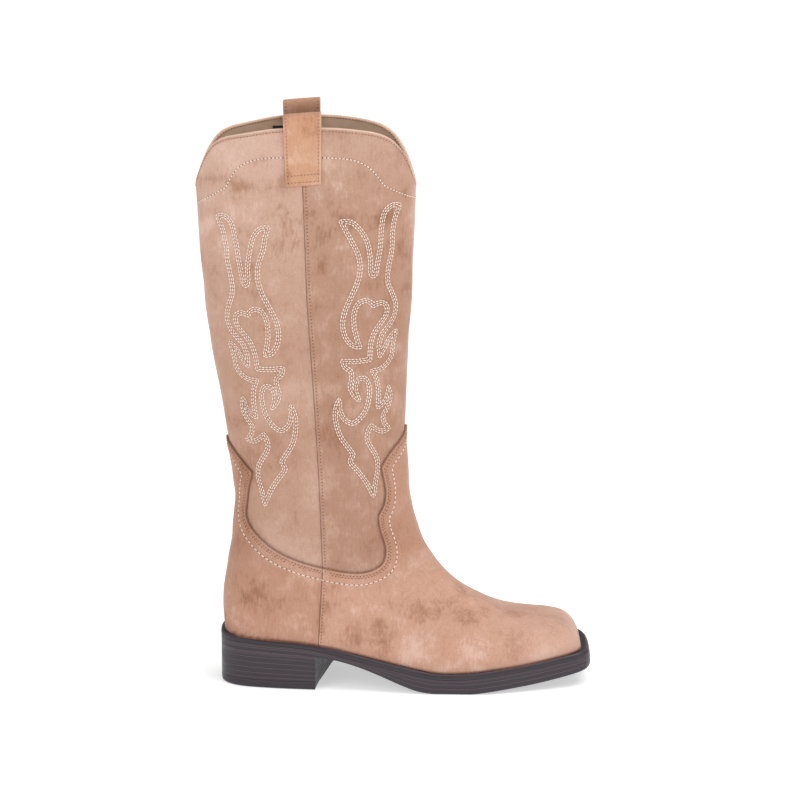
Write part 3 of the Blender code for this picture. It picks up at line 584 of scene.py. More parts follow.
# ---- materials ----------------------------------------------------------------------------
class Nodes:
    """A Principled material with short names for the nodes it is built from."""

    def __init__(self, name):
        self.material = bpy.data.materials.new(name)
        self.material.use_nodes = True
        self.tree = self.material.node_tree
        self.shader = self.tree.nodes["Principled BSDF"]
        self.place = self.tree.nodes.new("ShaderNodeTexCoord").outputs["Object"]

    def feed(self, socket, value):
        """Links an output to a socket, or sets the socket's value; a colour may leave out its alpha."""
        if isinstance(value, bpy.types.NodeSocket):
            self.tree.links.new(value, socket)
        elif socket.type == "RGBA":
            socket.default_value = (*value, 1.0)
        else:
            socket.default_value = value

    def add(self, kind, output, inputs, **settings):
        node = self.tree.nodes.new("ShaderNode" + kind)
        for name, value in settings.items():
            setattr(node, name, value)
        for name, value in inputs.items():
            self.feed(node.inputs[name], value)
        return node.outputs[output]

    def set(self, **values):
        for name, value in values.items():
            self.feed(self.shader.inputs[name.replace("_", " ")], value)

    def stretched(self, scale):
        return self.add("Mapping", "Vector", {"Vector": self.place, "Scale": scale})

    def rise(self, axis, low, high):
        """0 to 1 between two places along an axis of the piece."""
        above = self.maths("SUBTRACT", self.add("SeparateXYZ", axis, {0: self.place}), low)
        return self.maths("MULTIPLY", above, 1.0 / (high - low), clamp=True)

    def noise(self, scale, detail=3.0, roughness=0.55, distortion=0.0, vector=None):
        return self.add("TexNoise", "Fac", {"Scale": scale, "Detail": detail, "Roughness": roughness,
                                            "Distortion": distortion, "Vector": vector or self.place})

    def wave(self, scale, direction, distortion):
        return self.add("TexWave", "Fac", {"Scale": scale, "Distortion": distortion, "Vector": self.place},
                        bands_direction=direction)

    def maths(self, kind, a, b, clamp=False):
        return self.add("Math", 0, {0: a, 1: b}, operation=kind, use_clamp=clamp)

    def blend(self, *parts):
        """The sum of some outputs, each times its share."""
        scaled = [self.maths("MULTIPLY", part, share) for part, share in parts]
        total = scaled[0]
        for part in scaled[1:]:
            total = self.maths("ADD", total, part)
        return total

    def ramp(self, factor, stops):
        node = self.tree.nodes.new("ShaderNodeValToRGB")
        node.color_ramp.interpolation = "EASE"
        elements = node.color_ramp.elements
        while len(elements) < len(stops):
            elements.new(0.5)
        for element, (position, colour) in zip(elements, stops):
            element.position = position
            element.color = (*colour, 1.0)
        self.feed(node.inputs["Fac"], factor)
        return node.outputs["Color"]

    def greys(self, factor, low, first, high, last):
        """A grey that goes from first to last as the factor goes from low to high."""
        return self.ramp(factor, ((low, (first,) * 3), (high, (last,) * 3)))

    def mix(self, factor, a, b, kind="MIX"):
        return self.add("Mix", 2, {"Factor": factor, 6: a, 7: b}, data_type="RGBA", blend_type=kind)

    def bump(self, height, strength, distance):
        self.set(Normal=self.add("Bump", "Normal", {"Strength": strength, "Distance": distance,
                                                    "Height": height}))

    def attribute(self, name):
        return self.add("Attribute", "Fac", {}, attribute_name=name)


def srgb(red, green, blue):
    """Linear colour of an 8-bit screen colour."""
    return tuple((c / 255 / 12.92) if c <= 10 else ((c / 255 + 0.055) / 1.055) ** 2.4
                 for c in (red, green, blue))


def suede(name, dark, middle, light, lightening=0.42, darkening=0.34):
    """Brushed nap: soft clouds where the pile lies another way, mottling and a fine grain.

    It is paler towards the collar and the toe by one share, on the toe as a painted highlight, and
    darker round the ankle and the lower shaft by another share. It darkens where its vertex value of
    dark edges and painted shade is high, and takes a painted highlight where its vertex value of
    edge highlight is high."""
    n = Nodes(name)
    clouds = n.noise(24.0, 2.0, 0.45, 0.5)
    patches = n.noise(58.0, 2.0, 0.45, 0.3)
    mottle = n.noise(210.0, 3.0, 0.6)
    brushed = n.noise(620.0, 2.0, 0.5, 0.0, n.stretched((1.0, 1.0, 0.28)))
    cover = n.blend((clouds, 0.42), (patches, 0.28), (mottle, 0.13), (brushed, 0.17))
    tone = n.ramp(cover, ((0.37, dark), (0.50, middle), (0.63, light)))
    # paler towards the collar and the toe; on the toe this is a painted highlight
    collar_and_toe = n.maths("MAXIMUM", n.rise("Z", 0.380, 0.412), n.rise("X", 0.055, 0.130))
    tone = n.mix(n.maths("MULTIPLY", collar_and_toe, lightening), tone, light)
    # darker round the ankle and the lower shaft
    ankle_band = n.maths("MULTIPLY", n.rise("Z", 0.075, 0.108), n.rise("Z", 0.360, 0.270))
    tone = n.mix(n.maths("MULTIPLY", ankle_band, darkening), tone, dark)
    grain = n.noise(1250.0, 2.0, 0.6)
    speckled = ((0.25, (0.84, 0.82, 0.80)), (0.5, (1.0, 1.0, 1.0)), (0.8, (1.12, 1.11, 1.10)))
    tone = n.mix(1.0, tone, n.ramp(grain, speckled), "MULTIPLY")
    # a painted highlight along folded and cut edges
    tone = n.mix(n.attribute("painted_edge_highlight"), tone, PAINTED_EDGE_HIGHLIGHT)
    n.bump(n.blend((grain, 0.6), (n.noise(420.0, 3.0, 0.6), 0.4)), 0.5, 0.0003)
    # dark raw edges with painted shade beside them, and painted shade above the welt and on the far half of
    # the strap loops
    n.set(Base_Color=n.mix(n.attribute("dark_edge_and_shade"), tone, DARK_EDGE_AND_SHADE),
          Roughness=n.greys(mottle, 0.3, 0.86, 0.7, 0.98), Specular_IOR_Level=0.15,
          Sheen_Weight=0.58, Sheen_Roughness=0.36, Sheen_Tint=NAP_SHEEN)
    return n.material


def thread(name, dark, light, shine=0.25):
    """Twisted sewing thread."""
    n = Nodes(name)
    twist = n.wave(900.0, "DIAGONAL", 1.5)
    tone = n.ramp(twist, ((0.1, dark), (0.75, light)))
    n.bump(twist, 0.5, 0.0002)
    n.set(Base_Color=n.mix(0.22, tone, n.ramp(n.noise(60.0), ((0.3, dark), (0.7, light)))),
          Roughness=n.greys(twist, 0.0, 0.62, 1.0, 0.5), Specular_IOR_Level=shine, Sheen_Weight=0.15)
    return n.material


def lining(name, dark, light):
    """Smooth knitted lining with a brushed face."""
    n = Nodes(name)
    weave = n.maths("MULTIPLY", n.wave(520.0, "Z", 0.6), n.wave(520.0, "X", 0.6))
    tone = n.ramp(n.noise(26.0, 4.0, 0.6, 0.4), ((0.3, dark), (0.7, light)))
    n.bump(weave, 0.35, 0.00015)
    n.set(Base_Color=n.mix(1.0, tone, n.greys(weave, 0.0, 0.90, 0.7, 1.05), "MULTIPLY"),
          Roughness=n.greys(weave, 0.0, 0.88, 1.0, 0.78), Specular_IOR_Level=0.25, Sheen_Weight=0.12)
    return n.material


def rubber(name, dark, light, line):
    """Moulded sole: a satin skin with soft scuffs; its layer lines are paler where ridge is high,
    as a painted highlight on their lips.
    """
    n = Nodes(name)
    speckle = n.noise(900.0, 3.0, 0.6)
    smears = n.noise(60.0, 4.0, 0.6, 0.3, n.stretched((0.5, 0.5, 1.6)))
    tone = n.ramp(n.blend((smears, 0.75), (speckle, 0.25)), ((0.3, dark), (0.7, light)))
    n.bump(speckle, 0.2, 0.00015)
    n.set(Base_Color=n.mix(n.attribute("ridge"), tone, line),
          Roughness=n.greys(smears, 0.3, 0.38, 0.75, 0.56), Specular_IOR_Level=0.5)
    return n.material


def board(name, dark, light):
    """Pressed fibre board."""
    n = Nodes(name)
    fibre = n.noise(240.0, 5.0, 0.7, 0.8)
    n.bump(fibre, 0.4, 0.0003)
    n.set(Base_Color=n.ramp(fibre, ((0.3, dark), (0.7, light))), Roughness=0.9)
    return n.material


def steel(name, dark, light):
    """Steel brushed along the boot."""
    n = Nodes(name)
    brush = n.noise(300.0, 4.0, 0.6, 0.0, n.stretched((0.05, 1.0, 1.0)))
    n.set(Base_Color=n.ramp(brush, ((0.2, dark), (0.8, light))),
          Roughness=n.greys(brush, 0.2, 0.45, 0.8, 0.28), Metallic=1.0)
    return n.material


# colours of the painted edge highlight, of dark edges with painted shade, and of the nap's sheen
PAINTED_EDGE_HIGHLIGHT, DARK_EDGE_AND_SHADE, NAP_SHEEN = srgb(232, 200, 182), srgb(94, 58, 45), srgb(246, 226, 222)
# the panels differ in tone as painted light and shade: the front panel and the counter darker, the back panel
# and the vamp lighter
SUEDE = suede("suede_front", srgb(160, 117, 94), srgb(185, 146, 125), srgb(208, 173, 155))
SUEDE_BACK = suede("suede_back", srgb(173, 131, 108), srgb(202, 165, 146), srgb(219, 186, 170), 0.42, 0.45)
SUEDE_FOOT = suede("suede_vamp", srgb(174, 128, 104), srgb(203, 159, 137), srgb(220, 183, 166), 0.42, 0.60)
SUEDE_HEEL = suede("suede_counter", srgb(165, 119, 94), srgb(192, 147, 124), srgb(211, 171, 152))
SUEDE_STRAP = suede("suede_straps", srgb(180, 130, 99), srgb(204, 156, 127), srgb(218, 175, 149), 0.0)
CREAM_THREAD = thread("cream_thread", srgb(250, 221, 201), srgb(255, 245, 236))
TONAL_THREAD = thread("tonal_thread", srgb(186, 138, 112), srgb(220, 176, 150), 0.15)
# the needle holes are dark with painted shade
HOLE_SHADE = thread("needle_hole_shade", srgb(104, 62, 44), srgb(122, 78, 58), 0.1)
LINING = lining("lining_knit", srgb(186, 154, 128), srgb(212, 182, 156))
FOOTBED_CLOTH = lining("footbed_knit", srgb(172, 140, 112), srgb(198, 166, 138))
# the third colour is the painted highlight of the layer lines and lips
RUBBER = rubber("sole_layers", srgb(36, 29, 37), srgb(51, 43, 52), srgb(86, 71, 74))
BOARD = board("fibre_board", srgb(150, 128, 98), srgb(186, 164, 132))
STEEL = steel("brushed_steel", (0.42, 0.42, 0.43), (0.68, 0.68, 0.69))
LABEL = lining("label_weave", srgb(40, 38, 38), srgb(62, 58, 58))


# ---- stitches -----------------------------------------------------------------------------
class Sewing:
    """Finds places on the loft from flat pattern coordinates, and lays stitches there."""

    def __init__(self, loft, across):
        self.loft = loft
        self.across = across
        self.columns = loft.girth.shape[1]
        self.trees = {}
        middles = np.abs(loft.share * 2 - 1) > 0.999
        for side in (-1, 1):
            # the sole's end of the loft holds no pattern
            own = (loft.side == side) | middles
            own = own[None, :] & (loft.points[..., 2] > 10)
            index = np.argwhere(own)
            tree = KDTree(len(index))
            for n, (i, j) in enumerate(index):
                tree.insert((across[i, j], loft.points[i, j, 2], 0.0), n)
            tree.balance()
            self.trees[side] = (tree, index)

    def find(self, spots, side):
        """Points and normals on one side of the loft at pattern coordinates (across, height)."""
        tree, index = self.trees[side]
        loft, across = self.loft, self.across
        rows = loft.girth.shape[0]
        places, normals = [], []
        for spot in spots:
            i, j = index[tree.find((spot[0], spot[1], 0.0))[1]]
            up, down = max(i - 1, 0), min(i + 1, rows - 1)
            left, right = (j - 1) % self.columns, (j + 1) % self.columns

            def slope_down(table):
                return (table[down, j] - table[up, j]) / (down - up)

            def slope_along(table):
                return (table[i, right] - table[i, left]) / 2

            height = loft.points[..., 2]
            here = np.array([across[i, j], height[i, j]])
            step_across = slope_along(across)
            if loft.share[right] == loft.share[left]:
                step_across = (here[0] - across[i, left]) * side * -1 or 1.0
            matrix = np.array([[slope_down(across), step_across],
                               [slope_down(height), slope_along(height)]])
            try:
                move = np.linalg.solve(matrix, np.asarray(spot[:2]) - here)
            except np.linalg.LinAlgError:
                move = np.zeros(2)
            move = np.clip(move, -1.5, 1.5)
            shifted = [table[i, j] + move[0] * slope_down(table) + move[1] * slope_along(table)
                       for table in (loft.points, loft.normals)]
            places.append(shifted[0])
            normals.append(shifted[1] / np.linalg.norm(shifted[1]))
        return np.array(places), np.array(normals)


class Stitches:
    """Many stitches gathered into one mesh: each dips into the leather at both ends."""

    RINGS = ((-0.5, 0.4), (-0.36, 0.9), (0.0, 1.0), (0.36, 0.9), (0.5, 0.4))
    SIDES = 5
    SINK = 1.1
    HOLE_RINGS = ((1.15, -0.25), (1.0, 0.07), (0.45, 0.12))
    HOLE_SIDES = 6

    def __init__(self):
        self.vertices = []
        self.faces = []

    def close(self, base, rings, sides):
        """Faces of a bead whose rings start at vertex number base, with a flat cap at both ends."""
        self.faces += ring_faces(rings, sides, base)
        self.faces.append(tuple(base + k for k in reversed(range(sides))))
        self.faces.append(tuple(base + (rings - 1) * sides + k for k in range(sides)))

    def stitch(self, start, end, normal, radius, lift):
        forward = end - start
        length = np.linalg.norm(forward)
        forward = forward / length
        normal = normal - forward * (normal @ forward)
        normal = normal / np.linalg.norm(normal)
        side = np.cross(forward, normal)
        middle = (start + end) / 2
        base = len(self.vertices)
        for share, width in self.RINGS:
            rise = lift + radius * (0.55 - self.SINK * (2 * share) ** 4)
            centre = middle + forward * length * share + normal * rise
            for k in range(self.SIDES):
                turn = 2 * math.pi * k / self.SIDES
                self.vertices.append(centre + radius * width * (math.cos(turn) * side
                                                                + 0.85 * math.sin(turn) * normal))
        self.close(base, len(self.RINGS), self.SIDES)

    def hole(self, spot, up, radius, lift):
        """A dimple dark with painted shade, as a shallow six-sided bead lying in the leather."""
        up = up / np.linalg.norm(up)
        side = np.cross(up, (0.3, 0.5, 0.8))
        side /= np.linalg.norm(side)
        other = np.cross(up, side)
        base = len(self.vertices)
        middle = spot + up * lift
        for width, rise in self.HOLE_RINGS:
            for k in range(self.HOLE_SIDES):
                turn = math.pi * k / 3
                self.vertices.append(middle + up * rise
                                     + radius * width * (math.cos(turn) * side + math.sin(turn) * other))
        self.close(base, len(self.HOLE_RINGS), self.HOLE_SIDES)

    def row(self, points, normals, kind, lift):
        """Stitches of a kind (pitch, length, radius) along a polyline on the surface."""
        pitch, length, radius = kind
        run = run_along(points)
        count = max(1, int(round(run[-1] / pitch)))
        step = run[-1] / count
        ends = np.array([(n + 0.5) * step + end * length / 2 for n in range(count) for end in (-1, 1)])
        spots, ups = read_at(ends, run, points), read_at(ends, run, normals)
        for n in range(count):
            self.stitch(spots[2 * n], spots[2 * n + 1], ups[2 * n] + ups[2 * n + 1], radius, lift)

    def hole_row(self, points, normals, pitch, radius, lift):
        """The needle holes between the stitches of such a row."""
        run = run_along(points)
        count = max(1, int(round(run[-1] / pitch)))
        ends = np.arange(count + 1) * (run[-1] / count)
        for spot, up in zip(read_at(ends, run, points), read_at(ends, run, normals)):
            self.hole(spot, up, radius, lift)

    def build(self, name, material):
        return add_mesh(name, np.array(self.vertices), self.faces, material, sharp=0)


def beside(line, distance, closed=False):
    """A row at a distance to the left of a flat line, without the loops that corners would make."""
    if closed:
        ahead, behind = np.roll(line, -1, axis=0), np.roll(line, 1, axis=0)
    else:
        ahead = np.concatenate([line[1:], line[-1:]])
        behind = np.concatenate([line[:1], line[:-1]])
    heading = ahead - behind
    heading /= np.maximum(np.linalg.norm(heading, axis=1, keepdims=True), 1e-9)
    moved = line + np.column_stack([-heading[:, 1], heading[:, 0]]) * distance
    if distance == 0:
        return moved
    whole = np.concatenate([line, line[:1]]) if closed else line
    keep = to_polyline(moved, whole) > abs(distance) * 0.93
    return moved[keep]


# ---- the upper ----------------------------------------------------------------------------
def build_panels(loft):
    x, z = loft.points[..., 0], loft.points[..., 2]
    overlay = loft.overlay_depth()
    ahead = x - seam_x(z)
    levels = {"overlay": overlay, "lap": LAP - overlay, "ahead": ahead - 0.1, "behind": -ahead - 0.1,
              "rim": loft.rim() - RIM_FOLD - z, "welt": z - loft.sole_top() + 0.4,
              "sewn": ridge(loft.figure_distance(), 0.0, 2.8),
              "puff": x - 98.0, "heel_back": -80.0 - x, "heel_low": 72.0 - z}

    def over_seam(patch, start):
        """The front panels lie over the back ones, so they rise beside the seam."""
        return step_up(-patch["ahead"] + start, 0.0, 6.0) * (patch["ahead"] > -1)

    def leather(patch):
        lapped = 0.45 * over_seam(patch, 9.0)
        under = -0.25 * step_up(patch["overlay"], -1.5, 0.5)
        return lapped + under - 0.45 * patch["sewn"]

    def overlaid(patch):
        depth = patch["overlay"]
        rows = 0.28 * ridge(depth, 3.1, 1.2) + 0.30 * ridge(depth, 8.5, 0.9)
        return OVERLAY_OUT - rows + 0.35 * ridge(depth, 5.9, 1.6) + 0.35 * over_seam(patch, 8.0)

    def edges_and_shade(patch):
        """Where the leather is darkened: along its cut edges and its seam, a dark raw edge with painted
        shade beside it, and above the welt, painted shade where the upper meets the sole.
        """
        own = np.where(patch["ahead"] > -0.3, patch["ahead"], patch["behind"])
        return np.max([0.48 * ridge(patch["overlay"], 0.0, 0.5), 0.24 * ridge(own, 0.1, 0.4),
                       ridge(patch["welt"], 0.6, 1.7), 0.20 * ridge(patch["welt"], 1.0, 5.5)], axis=0)

    def panel(name, seam, extra, outer, inner, edges, edge_round, material, node):
        patch = Patch(loft, levels)
        for level in extra:
            patch.cut(level)
        for level, at in (("overlay", 0.8), ("overlay", -0.6), (seam, 0.7)):
            patch.cut(level, at, both=True)
        bend(shell(name, patch, inner, outer, edges + [seam], edge_round, material, {"dark_edge_and_shade": edges_and_shade}),
             "suede", node)

    for name, seam, material, node in (("shaft_front_suede", "ahead", SUEDE, "shaft_front"),
                                       ("shaft_back_suede", "behind", SUEDE_BACK, "shaft_back")):
        panel(name, seam, ["lap", "rim"], leather, LEATHER_IN, [], 0.32, material, node)
    for name, seam, material, node in (("vamp_suede", "ahead", SUEDE_FOOT, "vamp"),
                                       ("counter_suede", "behind", SUEDE_HEEL, "counter")):
        panel(name, seam, ["welt"], overlaid, OVERLAY_IN, ["overlay"], 0.6, material, node)
    for name, cuts, node in (("toe_stiffening", ["puff", "welt"], "toe_puff"),
                             ("heel_stiffening", ["heel_back", "heel_low", "welt"], "heel_stiffener")):
        patch = Patch(loft, levels)
        for level in cuts:
            patch.cut(level)
        bend(shell(name, patch, STIFFENER_IN, STIFFENER_OUT, [], 1.0, BOARD), "stiff_board", node)


def build_lining(loft):
    z = loft.points[..., 2]
    facing = np.interp(np.abs(loft.girth), *zip(*FACING_EDGE))
    levels = {"rim": loft.rim() - RIM_FOLD - z, "welt": z - loft.sole_top() - 0.4,
              "facing": z - facing, "facing_top": loft.rim() - 0.5 - z}
    patch = Patch(loft, levels)
    patch.cut("rim")
    patch.cut("welt")
    bend(shell("boot_lining", patch, LINING_IN, LINING_OUT, [], 1.0, LINING), "lining_cloth",
         "vamp_lining", "heel_lining", "ankle_lining", "shaft_lining_front", "shaft_lining_back")
    # the facing's good side looks inwards, so its patch is turned over
    patch = Patch(loft, levels)
    patch.data["normal"] = -patch.data["normal"]
    patch.triangles = patch.triangles[:, ::-1]
    bend(shell("collar_facing_band", patch, -FACING_OUT, -FACING_IN, ["facing", "facing_top"], 0.7, LINING),
         "lining_cloth", "collar_facing")


def rim_line(loft, below):
    """The rim as a closed line of points and normals, a little below the top edge."""
    heights = loft.rim()[0] - below
    points, normals = [], []
    for j, height in enumerate(heights):
        column = loft.points[:, j, 2]
        i = int(np.argmax(column < height))
        share = (column[i - 1] - height) / (column[i - 1] - column[i])
        points.append(loft.points[i - 1, j] * (1 - share) + loft.points[i, j] * share)
        normals.append(loft.normals[i - 1, j] * (1 - share) + loft.normals[i, j] * share)
    return np.array(points), np.array(normals)


def build_rim(loft):
    """The shaft leather folded over the edge of the lining, as a thin pale edge whose top carries a painted
    highlight.
    """
    section = [(-0.02, -3.0), (0.05, -2.2), (0.05, -1.4), (-0.10, -0.7), (-0.5, -0.2), (-1.3, 0.0),
               (-2.1, -0.15), (-2.5, -0.6), (-2.62, -1.4), (-2.62, -2.2), (-2.5, -3.0), (-1.3, -3.2)]
    rings, highlight = [], []
    for out, rise in section:
        points, normals = rim_line(loft, -rise)
        rings.append(points + normals * out)
        # the top of the fold is paler, a painted highlight
        highlight.append(np.full(len(points), 0.7 if rise > -1.0 else 0.0))
    faces = ring_faces(len(rings), len(rings[0]), closed=True, turned=True)
    fold = add_mesh("rim_fold", np.concatenate(rings), faces, SUEDE,
                    shades={"painted_edge_highlight": np.concatenate(highlight)})
    carry(fold, "shaft", "suede")


def build_stitching(loft):
    by_girth = Sewing(loft, loft.girth * GIRTH_SCALE)
    by_arc = Sewing(loft, loft.arc)
    tonal, cream, holes = Stitches(), Stitches(), Stitches()

    def sew(kind, finder, flat, side, lift, row, keep=None):
        """A row and its needle holes, along the runs of a pattern line that are kept."""
        points, normals = finder.find(flat, side)
        runs = [np.arange(len(points))]
        if keep is not None:
            inside = keep(points)
            breaks = np.where(np.diff(inside.astype(int)) != 0)[0] + 1
            runs = [run for run in np.split(runs[0], breaks) if inside[run[0]] and len(run) > 2]
        for run in runs:
            kind.row(points[run], normals[run], row, lift)
            holes.hole_row(points[run], normals[run], row[0], HOLE_RADIUS, lift)

    def clear_of_strap(points):
        middle = np.where(points[:, 1] < 0, STRAP_X[-1], STRAP_X[1])
        return np.abs(points[:, 0] - middle) > STRAP_HALF_WIDTH + 0.4

    def open_ended(line):
        return line[np.abs(line[:, 0]) < ROW_END * GIRTH_SCALE]

    for side in (-1, 1):
        for distance, kind, lift, row in ((2.3, tonal, 1.7, OVERLAY_TONAL_ROW),
                                          (4.0, tonal, 1.7, OVERLAY_TONAL_ROW),
                                          (8.9, cream, 1.65, OVERLAY_CREAM_ROW)):
            line = open_ended(along(beside(OVERLAY_LINE, distance), 1.5))
            sew(kind, by_girth, line, side, lift, row)
        for facing in (-1, 1):
            line = joined(COLLAR_LINE, 1.5, (GIRTH_SCALE, 1.0)) * (facing, 1.0)
            share = np.abs(line[:, 0]) / GIRTH_SCALE
            # beyond its corner the row lies higher at the front and lower at the back
            line[:, 1] += 2.0 * step_up(share, 0.65, 1.0) if facing > 0 else -2.2 * step_up(share, 0.5, 0.62)
            sew(cream, by_girth, open_ended(line), side, 0.05, COLLAR_ROW, clear_of_strap)
        for top, foot, count, lift in ((386, 99, 190, 0.4), (94, 36, 40, 2.1)):
            seam = np.column_stack([np.full(count, 2.3), np.linspace(top, foot, count)])
            sew(tonal, by_arc, seam, side, lift, SEAM_ROW)

    for turn, lift, below in ((1, 0.02, 2.7), (-1, 3.9, 1.7)):
        points, normals = rim_line(loft, below)
        tonal.row(points, normals * turn, RIM_ROW, lift)
        holes.hole_row(points, normals * turn, RIM_ROW[0], SMALL_HOLE_RADIUS, lift)

    bend(tonal.build("tonal_stitching", TONAL_THREAD), "suede")
    bend(cream.build("cream_stitching", CREAM_THREAD), "suede")
    bend(holes.build("needle_hole_shade", HOLE_SHADE), "suede")

    for side, side_name in ((-1, "outer"), (1, "inner")):
        for turn, outline, panel in ((1, FIGURE_LINE, "front"), (-1, FIGURE_LINE_BACK, "back")):
            figure = Stitches()
            for offset in FIGURE_ROWS:
                flat = beside(outline[:-1], offset, closed=True)
                flat = np.concatenate([flat, flat[:1]]) * (turn, 1.0)
                figure.row(*by_arc.find(flat, side), FIGURE_ROW, -0.1)
            bend(figure.build(f"embroidery_{side_name}_{panel}", CREAM_THREAD), "suede")


class Strap:
    """A webbing of suede sewn to both faces of the shaft, standing up as a loop over the rim."""

    def __init__(self, loft, side):
        self.loft = loft
        self.side = side
        self.path = smooth_through(STRAP_PATH, STRAP_STEP)
        sag = (self.path[:, 1] - STRAP_SAG_FROM) / (self.path[:, 1].max() - STRAP_SAG_FROM)
        self.path[:, 1] -= STRAP_SAG[side] * np.maximum(sag, 0.0)
        tangent = np.gradient(self.path, axis=0)
        tangent /= np.linalg.norm(tangent, axis=1, keepdims=True)
        self.across = np.column_stack([tangent[:, 1], -tangent[:, 0]])
        own = np.where(loft.side == side)[0]
        own = own[np.argsort(loft.points[0, own, 0])]
        self.columns = own
        self.levels = loft.points[:, 0, 2]

    def wall(self, x, z):
        """y of the shaft leather beside the middle plane, at places x on one level."""
        z = min(z, RIM_HIGH - 3)
        i = int(np.argmax(self.levels < z))
        share = (self.levels[i - 1] - z) / (self.levels[i - 1] - self.levels[i])
        row = self.loft.points[i - 1, self.columns] * (1 - share) + self.loft.points[i, self.columns] * share
        return np.interp(x, row[:, 0], np.abs(row[:, 1]))

    def at(self, n, c, t):
        """Points at step n of the path, c across it from its middle, t above its mid-plane."""
        out, z = self.path[n]
        normal_out, normal_z = self.across[n]
        c = np.asarray(c, float)
        x = STRAP_X[self.side] + c * (1 + 0.0018 * (z - 412)) - 0.012 * (z - 412)
        height = z + STRAP_TILT * c + normal_z * np.asarray(t, float)
        y = self.wall(x, z) + out + normal_out * np.asarray(t, float)
        return np.column_stack([x, self.side * y, np.broadcast_to(height, x.shape)])

    def build(self, name, node):
        half, thick = STRAP_HALF_WIDTH, STRAP_THICK / 2
        c = np.concatenate([[-1.0, -0.985, -0.955], np.linspace(-0.92, 0.92, 21), [0.955, 0.985, 1.0]])
        drop = 0.75 * (1 - np.sqrt(np.clip(1 - ((np.abs(c) - 0.94).clip(0) / 0.06) ** 2, 0, 1)))
        pressed = 0.22 * ridge(np.abs(c) * half, half - STRAP_ROW_IN, 0.9)
        rings = []
        last = len(self.path) - 1
        for n in range(last + 1):
            end = min(n, last - n)
            thin = 0.45 * math.exp(-end / 0.8)
            top = self.at(n, c * half, thick - drop - pressed - thin)
            bottom = self.at(n, c[::-1] * half, np.full(len(c), -thick) + drop[::-1])
            rings.append(np.concatenate([top, bottom]))
        # a painted highlight along both edges of the webbing
        highlight = 0.6 * ridge(np.abs(np.concatenate([c, c[::-1]])), 1.0, 0.03)
        # the far half of the loop lies in the shade of the mouth
        shaded = np.repeat(0.34 * step_up(np.arange(last + 1) / last, 0.42, 0.56), 2 * len(c))
        webbing = add_mesh(name, np.concatenate(rings), webbing_faces(rings, self.side > 0), SUEDE_STRAP,
                           shades={"painted_edge_highlight": np.tile(highlight, last + 1), "dark_edge_and_shade": shaded})
        carry(webbing, "shaft", "suede", node)

    def sew(self, threads, holes):
        """A row along both edges and two rows across the sewn end."""
        thick = STRAP_THICK / 2
        edge = STRAP_HALF_WIDTH - STRAP_ROW_IN

        def row(points, lower):
            threads.row(points, points - lower, STRAP_ROW, 0.0)
            holes.hole_row(points, points - lower, STRAP_ROW[0], SMALL_HOLE_RADIUS, 0.0)

        steps = range(2, len(self.path) - 2)
        for c in (-edge, edge):
            row(*(np.concatenate([self.at(n, [c], [t]) for n in steps]) for t in (thick - 0.2, 0.0)))
        for rise in (2.4, 8.2):
            n = int(round(rise / STRAP_STEP))
            c = np.linspace(-edge, edge, 18)
            row(*(self.at(n, c, np.full(len(c), t)) for t in (thick - 0.05, 0.0)))


def build_straps(loft):
    threads, holes = Stitches(), Stitches()
    for side, word in ((-1, "lateral"), (1, "medial")):
        strap = Strap(loft, side)
        strap.build(f"{word}_strap_suede", f"{word}_pull_strap")
        strap.sew(threads, holes)
    carry(threads.build("strap_stitching", TONAL_THREAD), "shaft", "suede")
    carry(holes.build("strap_needle_hole_shade", HOLE_SHADE), "shaft", "suede")


def build_tab(loft):
    """A plain woven tab on the collar facing, behind the inner strap; its back ripples a little."""
    wall = Strap(loft, 1).wall
    x = np.linspace(-99.0, -91.0, 9)
    ripple = 0.25 * np.sin((x + 99) * 0.9)
    rings = []
    for z in np.linspace(406.0, 421.0, 14):
        face, back = (np.column_stack([x, wall(x, z) + layer, np.full(len(x), z)])
                      for layer in (-4.0, ripple - 4.6))
        rings.append(np.concatenate([face, back[::-1]]))
    carry(add_mesh("woven_tab", np.concatenate(rings), webbing_faces(rings, True), LABEL),
          "shaft", "label_cloth", "size_label")


